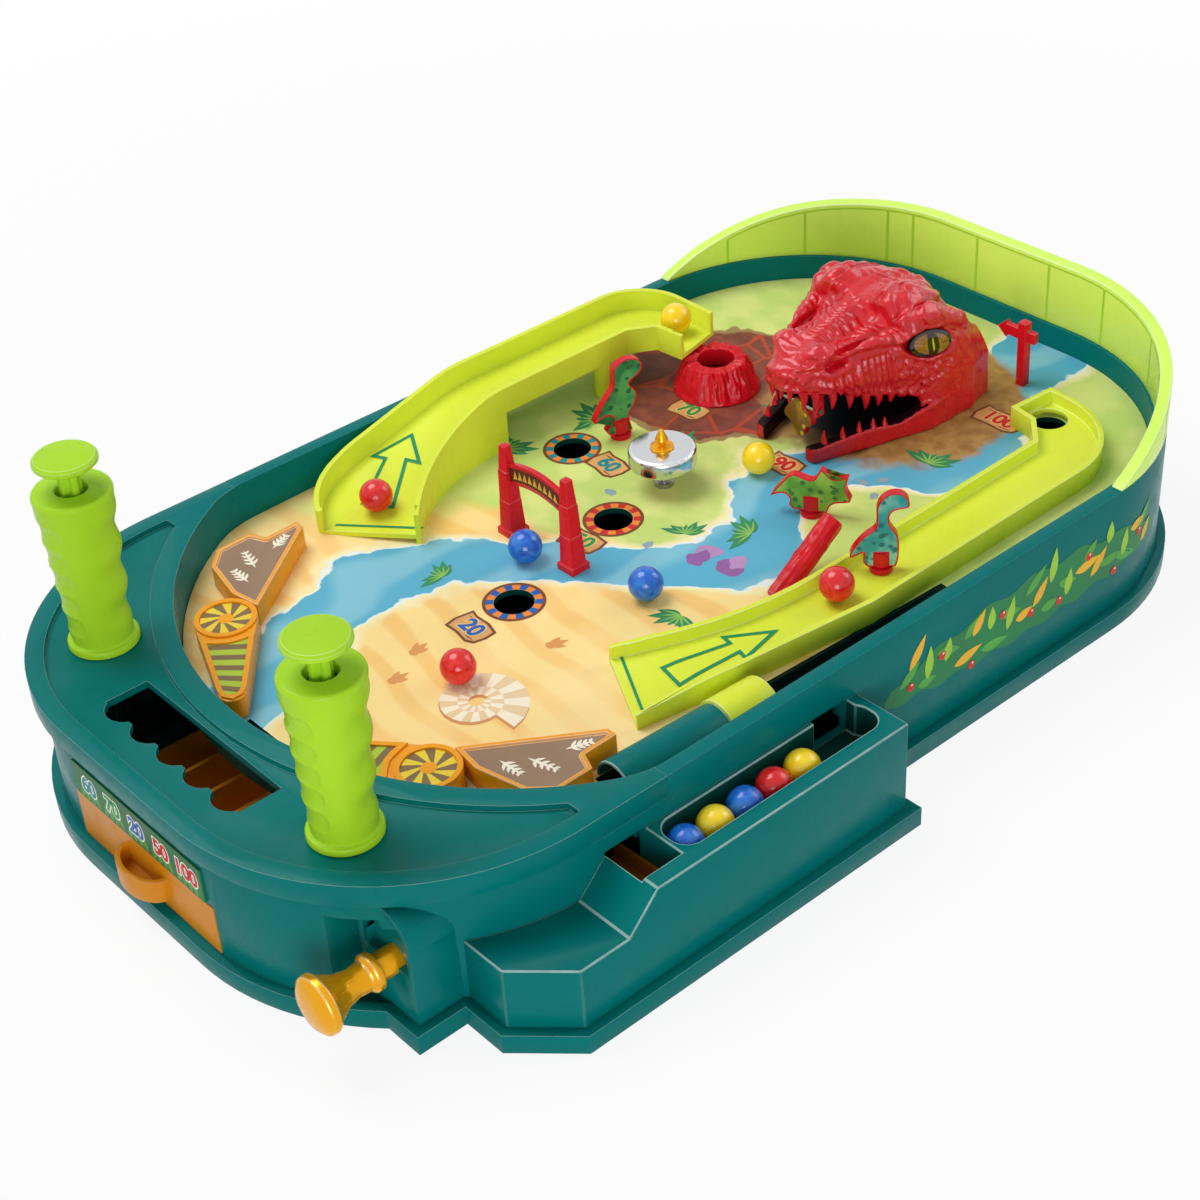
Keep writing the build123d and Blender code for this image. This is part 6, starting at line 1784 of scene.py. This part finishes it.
class PINBALL_OT_spinner(bpy.types.Operator):
    """Moulds the spinner's plated disc and gold knob on its pin"""
    bl_idname = "pinball.spinner"
    bl_label = "Spinner"

    def execute(self, context):
        soften("spinner_disc", 0.7 * MM, chrome(), "chrome_plastic", "spinner", segments=3)
        soften("spinner_knob", sizes().fine_edge, gold(), "gold_plastic", "spinner")
        dress("spinner_pin", steel())
        return {"FINISHED"}


# ---------------------------------------------------------------- figures and mouth flap

# Node, print, and colours of the back, belly and spots.
FIGURES = (("hunter_figure", "Hunter print", (30, 120, 70), (76, 160, 88), (18, 88, 56)),
           ("horned_figure", "Horned print", (96, 158, 44), (150, 196, 78), (60, 116, 36)),
           ("long_neck_figure", "Long neck print", (36, 150, 150), (130, 200, 176), (24, 106, 116)))
PANEL_AREA, PANEL_EDGE, PANEL_DEPTH = 20.0 * MM * MM, 0.6 * MM, 0.25 * MM


def creature_print(name, *tones):
    """Printed hide of a flat figure: back, belly and soft spots."""
    back, belly, spot = (paint(*tone) for tone in tones)
    material, tree, shader = new_material(name)
    place = surface_place(tree)
    spots = node(tree, "TexVoronoi", {"Vector": place, "Scale": 260.0}).outputs["Distance"]
    skin = mixed(tree, ramped(tree, grained(tree, place, 95, 2), 0.4, 0.6), back, belly)
    skin = mixed(tree, ramped(tree, spots, 0.34, 0.26), skin, spot)
    finished(tree, shader, ink_group(), {"Colour": skin, "Shading": 0.3})
    return material


def flat_figure(name, print_material):
    """A flat figure with a red moulded edge and a print let into each face."""
    shape = cleaned(name)
    upright = (face for face in shape.faces if abs(face.normal.z) < 0.3)
    facing = max(upright, key=lambda face: face.calc_area()).normal.copy()
    panels = [face for face in shape.faces
              if abs(face.normal.dot(facing)) > 0.99 and face.calc_area() > PANEL_AREA]
    for face in shape.faces:
        face.smooth = True
    bmesh.ops.inset_individual(shape, faces=panels, thickness=PANEL_EDGE, depth=-PANEL_DEPTH)
    for face in panels:
        face.material_index = 1
    bmesh.ops.triangulate(shape, faces=panels)
    add_piece(name + "_piece", meshed(shape, name + "_print"), [red(), print_material], name,
              "figure_plastic", 30, name)


class PINBALL_OT_figures(bpy.types.Operator):
    """Moulds the flat swinging figures on their pegs, and the mouth flap on its pin"""
    bl_idname = "pinball.figures"
    bl_label = "Figures and mouth flap"

    def execute(self, context):
        for name, *hide_print in FIGURES:
            flat_figure(name, creature_print(*hide_print))
        dress("figure_pegs", red())
        flap = creature_print("Flap print", (190, 140, 30), (126, 84, 24), (226, 190, 52))
        soften("mouth_flap", 0.25 * MM, [red(), flap], "orange_plastic", "mouth_flap",
               choose=lambda centre, normal: int(abs(normal.y) > 0.9))
        dress("flap_pin", steel())
        return {"FINISHED"}


class PINBALL_OT_plunger(bpy.types.Operator):
    """Moulds the gold plunger knob and rod, and winds their spring"""
    bl_idname = "pinball.plunger"
    bl_label = "Plunger"

    def execute(self, context):
        edge, fine = sizes().part_edge, sizes().fine_edge
        soften("plunger_knob", edge, gold(), "gold_plastic", "plunger", segments=3)
        soften("plunger_rod", fine, gold(), "gold_plastic", "plunger")
        coil("plunger_spring", (0, 1, 0), 7.0 * MM, 0.65 * MM, 8, "plunger_pull")
        return {"FINISHED"}


# ---------------------------------------------------------------- drawer, balls and inside

# Number and ink of each place on the score strip.
STRIP = (("60", "teal"), ("70", "green"), ("20", "blue"), ("50", "red"), ("100", "red"))
STRIP_START, STRIP_STEP, STRIP_NUMBER = -31.0, 15.6, 9.4


class PINBALL_OT_drawer(bpy.types.Operator):
    """Moulds the score drawer and prints the strip of numbers over it"""
    bl_idname = "pinball.drawer"
    bl_label = "Score drawer"

    def execute(self, context):
        soften("drawer", sizes().part_edge, amber(), "amber_plastic", "drawer")
        low, high = (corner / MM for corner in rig.box("score_strip"))
        dress("score_strip", ink("Strip ink", paint(44, 112, 66), 0.9))
        middle_x, middle_z, front = (low.x + high.x) / 2, (low.z + high.z) / 2, low.y
        leaf_ink = ink("Strip leaf ink", paint(84, 156, 72), 0.5)
        blades = [moved(leaf(9.5, 3.0), -6.0 + 4.0 * n, -7.0, 1.2 + 0.25 * n) for n in range(4)]
        for k, (words, tone) in enumerate(STRIP):
            def upright(x, y, up, start=STRIP_START + STRIP_STEP * k):
                return Vector((middle_x + (x + start), front - up, middle_z + y)) * MM

            flat_print("strip_leaves_%d" % k, blades, upright, leaf_ink, slot="printed_card",
                       up=0.04)
            for part, tones, up, bold in (("halo", white_ink(), 0.07, 0.9),
                                          ("number", tone_ink(tone), 0.1, 0.35)):
                numerals("strip_%s_%d" % (part, k), words, STRIP_NUMBER, upright, tones, up, bold,
                         "printed_card")
        return {"FINISHED"}


def pearl(name, colour, light):
    """Pearly ball plastic with soft swirls."""
    material, tree, shader = new_material(name)
    swirl = node(tree, "TexNoise", {"Vector": surface_place(tree), "Scale": 150.0, "Detail": 3.0,
                                    "Distortion": 1.6}).outputs["Fac"]
    shade = mixed(tree, ramped(tree, swirl, 0.4, 0.68, 0.0, 0.55), paint(*colour), paint(*light))
    finished(tree, shader, moulded_group(), {
        "Colour": shade, "Gloss": 0.2, "Edge": 0.0, "Grain": 1800.0})
    set_sockets(shader, {"Coat Weight": 0.35, "Coat Roughness": 0.12, "Specular IOR Level": 0.3})
    return material


class PINBALL_OT_balls(bpy.types.Operator):
    """Finishes the pearly balls in the tray, on the field and on the ramps"""
    bl_idname = "pinball.balls"
    bl_label = "Balls"

    def execute(self, context):
        tones = {"blue": pearl("Blue pearl", (16, 96, 204), (60, 146, 236)),
                 "red": pearl("Red pearl", (222, 20, 26), (244, 70, 60)),
                 "yellow": pearl("Yellow pearl", (255, 212, 0), (255, 236, 70))}
        for name in frame["nodes"]:
            for tone, material in tones.items():
                if "ball" in name and name.endswith(tone):
                    dress(name, material)
        return {"FINISHED"}


class PINBALL_OT_inside(bpy.types.Operator):
    """Finishes the chutes and the return tray inside, with painted shade on the return tray and the launch chute"""
    bl_idname = "pinball.inside"
    bl_label = "Inside pieces"

    def execute(self, context):
        # The return tray takes the darker teal: painted shade.
        dress("return_tray", well())
        # The launch chute is painted near black: painted shade in the lane behind the clip.
        lane = plastic("Lane dark plastic", paint(6, 40, 38), 0.4, 0.15, shine=0.12)
        dress("launch_chute", lane)
        dress("feed_chute", amber())
        return {"FINISHED"}


# ---------------------------------------------------------------- stage

# The stage is in metres. Each lamp has a name, power, size, place and aim.
FLOOR_REACH = 30.0
LAMPS = (("key", 11.5, 0.9, (-0.55, -0.25, 1.25), (0.0, 0.0, 0.05)),
         ("fill", 8.0, 0.7, (1.0, -0.9, 0.34), (0.06, -0.08, 0.03)),
         ("rear", 3.5, 0.7, (0.35, 1.05, 0.8), (0.0, 0.05, 0.05)))
WHITE = (1.0, 1.0, 1.0, 1.0)
AIR_LIGHT = 0.28
SENSOR_WIDTH, LENS = 36.0, 67.0784
CAMERA_PLACE = (0.557886, -0.4756, 0.537018)
CAMERA_AROUND, CAMERA_ABOVE, CAMERA_ROLL = (math.radians(v) for v in (50.5237, 35.2951, -3.6435))
NEAREST_SEEN, FARTHEST_SEEN = 0.05, 20.0


def floor_material():
    """Pale floor that keeps the shadow near the game and shows white further out."""
    material, tree, shader = new_material("Pale floor")
    set_sockets(shader, {"Base Color": (0.86, 0.86, 0.86, 1.0), "Specular IOR Level": 0.1})
    place = surface_place(tree)
    rough = ramped(tree, grained(tree, place, 40), 0.3, 0.7, 0.86, 0.94)
    tree.links.new(rough, shader.inputs["Roughness"])
    white = node(tree, "Emission", {"Color": WHITE, "Strength": 1.0})
    far = node(tree, "VectorMath", {0: place}, operation="LENGTH").outputs["Value"]
    share = scaled(tree, seen_share(tree), ramped(tree, far, 0.35, 0.9, 0.88, 1.0))
    blend = node(tree, "MixShader", {0: share, 1: shader.outputs[0], 2: white.outputs[0]})
    tree.links.new(blend.outputs[0], tree.nodes["Material Output"].inputs["Surface"])
    return material


def add_floor():
    """A wide floor, marked as stage."""
    corners = [(-FLOOR_REACH, -FLOOR_REACH, 0), (FLOOR_REACH, -FLOOR_REACH, 0),
               (FLOOR_REACH, FLOOR_REACH, 0), (-FLOOR_REACH, FLOOR_REACH, 0)]
    floor = placed("floor", built("floor", corners, [(0, 1, 2, 3)]))
    floor.data.materials.append(floor_material())
    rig.stage(floor)


def light_stage(scene):
    """A white world that gives soft light, and three round lamps."""
    world = scene.world or bpy.data.worlds.new("Studio")
    scene.world = world
    world.use_nodes = True
    air = world.node_tree
    back = air.nodes["Background"]
    set_sockets(back, {"Color": WHITE})
    strength = ramped(air, seen_share(air), 0.0, 1.0, AIR_LIGHT, 1.0)
    air.links.new(strength, back.inputs["Strength"])
    for name, power, size, spot, aim in LAMPS:
        lamp = bpy.data.lights.new(name, "AREA")
        lamp.energy, lamp.shape, lamp.size = power, "DISK", size
        holder = placed(name, lamp)
        holder.location = spot
        holder.rotation_euler = (Vector(spot) - Vector(aim)).to_track_quat("Z", "Y").to_euler()


def add_camera(scene):
    """The camera at the photograph's angle, with its slight roll."""
    camera = bpy.data.cameras.new("camera")
    camera.sensor_fit, camera.sensor_width, camera.lens = "HORIZONTAL", SENSOR_WIDTH, LENS
    camera.clip_start, camera.clip_end = NEAREST_SEEN, FARTHEST_SEEN
    level = math.cos(CAMERA_ABOVE)
    right = Vector((math.cos(CAMERA_AROUND), math.sin(CAMERA_AROUND), 0))
    away = Vector((math.sin(CAMERA_AROUND) * level, -math.cos(CAMERA_AROUND) * level,
                   math.sin(CAMERA_ABOVE)))
    up = away.cross(right)
    across = math.cos(CAMERA_ROLL) * right + math.sin(CAMERA_ROLL) * up
    upright = math.cos(CAMERA_ROLL) * up - math.sin(CAMERA_ROLL) * right
    turn = Matrix((across, upright, away)).transposed().to_4x4()
    holder = placed("camera", camera)
    holder.matrix_world = Matrix.Translation(CAMERA_PLACE) @ turn
    scene.camera = holder


class PINBALL_OT_stage(bpy.types.Operator):
    """Sets the pale floor, the soft studio lights and the camera"""
    bl_idname = "pinball.stage"
    bl_label = "Stage"

    def execute(self, context):
        add_floor()
        light_stage(context.scene)
        context.scene.view_settings.view_transform = "Standard"
        add_camera(context.scene)
        return {"FINISHED"}


# ---------------------------------------------------------------- panel

OPERATORS = tuple(kind for key, kind in list(globals().items()) if key.startswith("PINBALL_OT_"))


class PINBALL_PT_panel(bpy.types.Panel):
    """Steps, colours and sizes of the pinball game"""
    bl_label = "Pinball game"
    bl_idname = "PINBALL_PT_panel"
    bl_space_type = "VIEW_3D"
    bl_region_type = "UI"
    bl_category = "Pinball"

    def draw(self, context):
        column = self.layout.column()
        for kind in OPERATORS:
            column.operator(kind.bl_idname)
        for group in (context.scene.pinball_colours, context.scene.pinball_sizes):
            for key in group.__annotations__:
                column.prop(group, key)


CLASSES = (GameColours, GameSizes, *OPERATORS, PINBALL_PT_panel)


def register():
    """Registers the classes and the scene's settings."""
    for kind in CLASSES:
        bpy.utils.register_class(kind)
    bpy.types.Scene.pinball_colours = bpy.props.PointerProperty(type=GameColours)
    bpy.types.Scene.pinball_sizes = bpy.props.PointerProperty(type=GameSizes)


def unregister():
    """Removes the classes and the scene's settings."""
    del bpy.types.Scene.pinball_sizes
    del bpy.types.Scene.pinball_colours
    for kind in reversed(CLASSES):
        bpy.utils.unregister_class(kind)


def main():
    """Builds every piece, then the stage, and writes the two boxes."""
    register()
    for kind in OPERATORS:
        group, name = kind.bl_idname.split(".")
        getattr(getattr(bpy.ops, group), name)()
    bpy.context.view_layer.update()
    with open("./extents.json", "w") as kept:
        json.dump({"cad": CAD_BOX, "visual": [list(corner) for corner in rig.bounds()]}, kept)


if __name__ == "__main__":
    main()
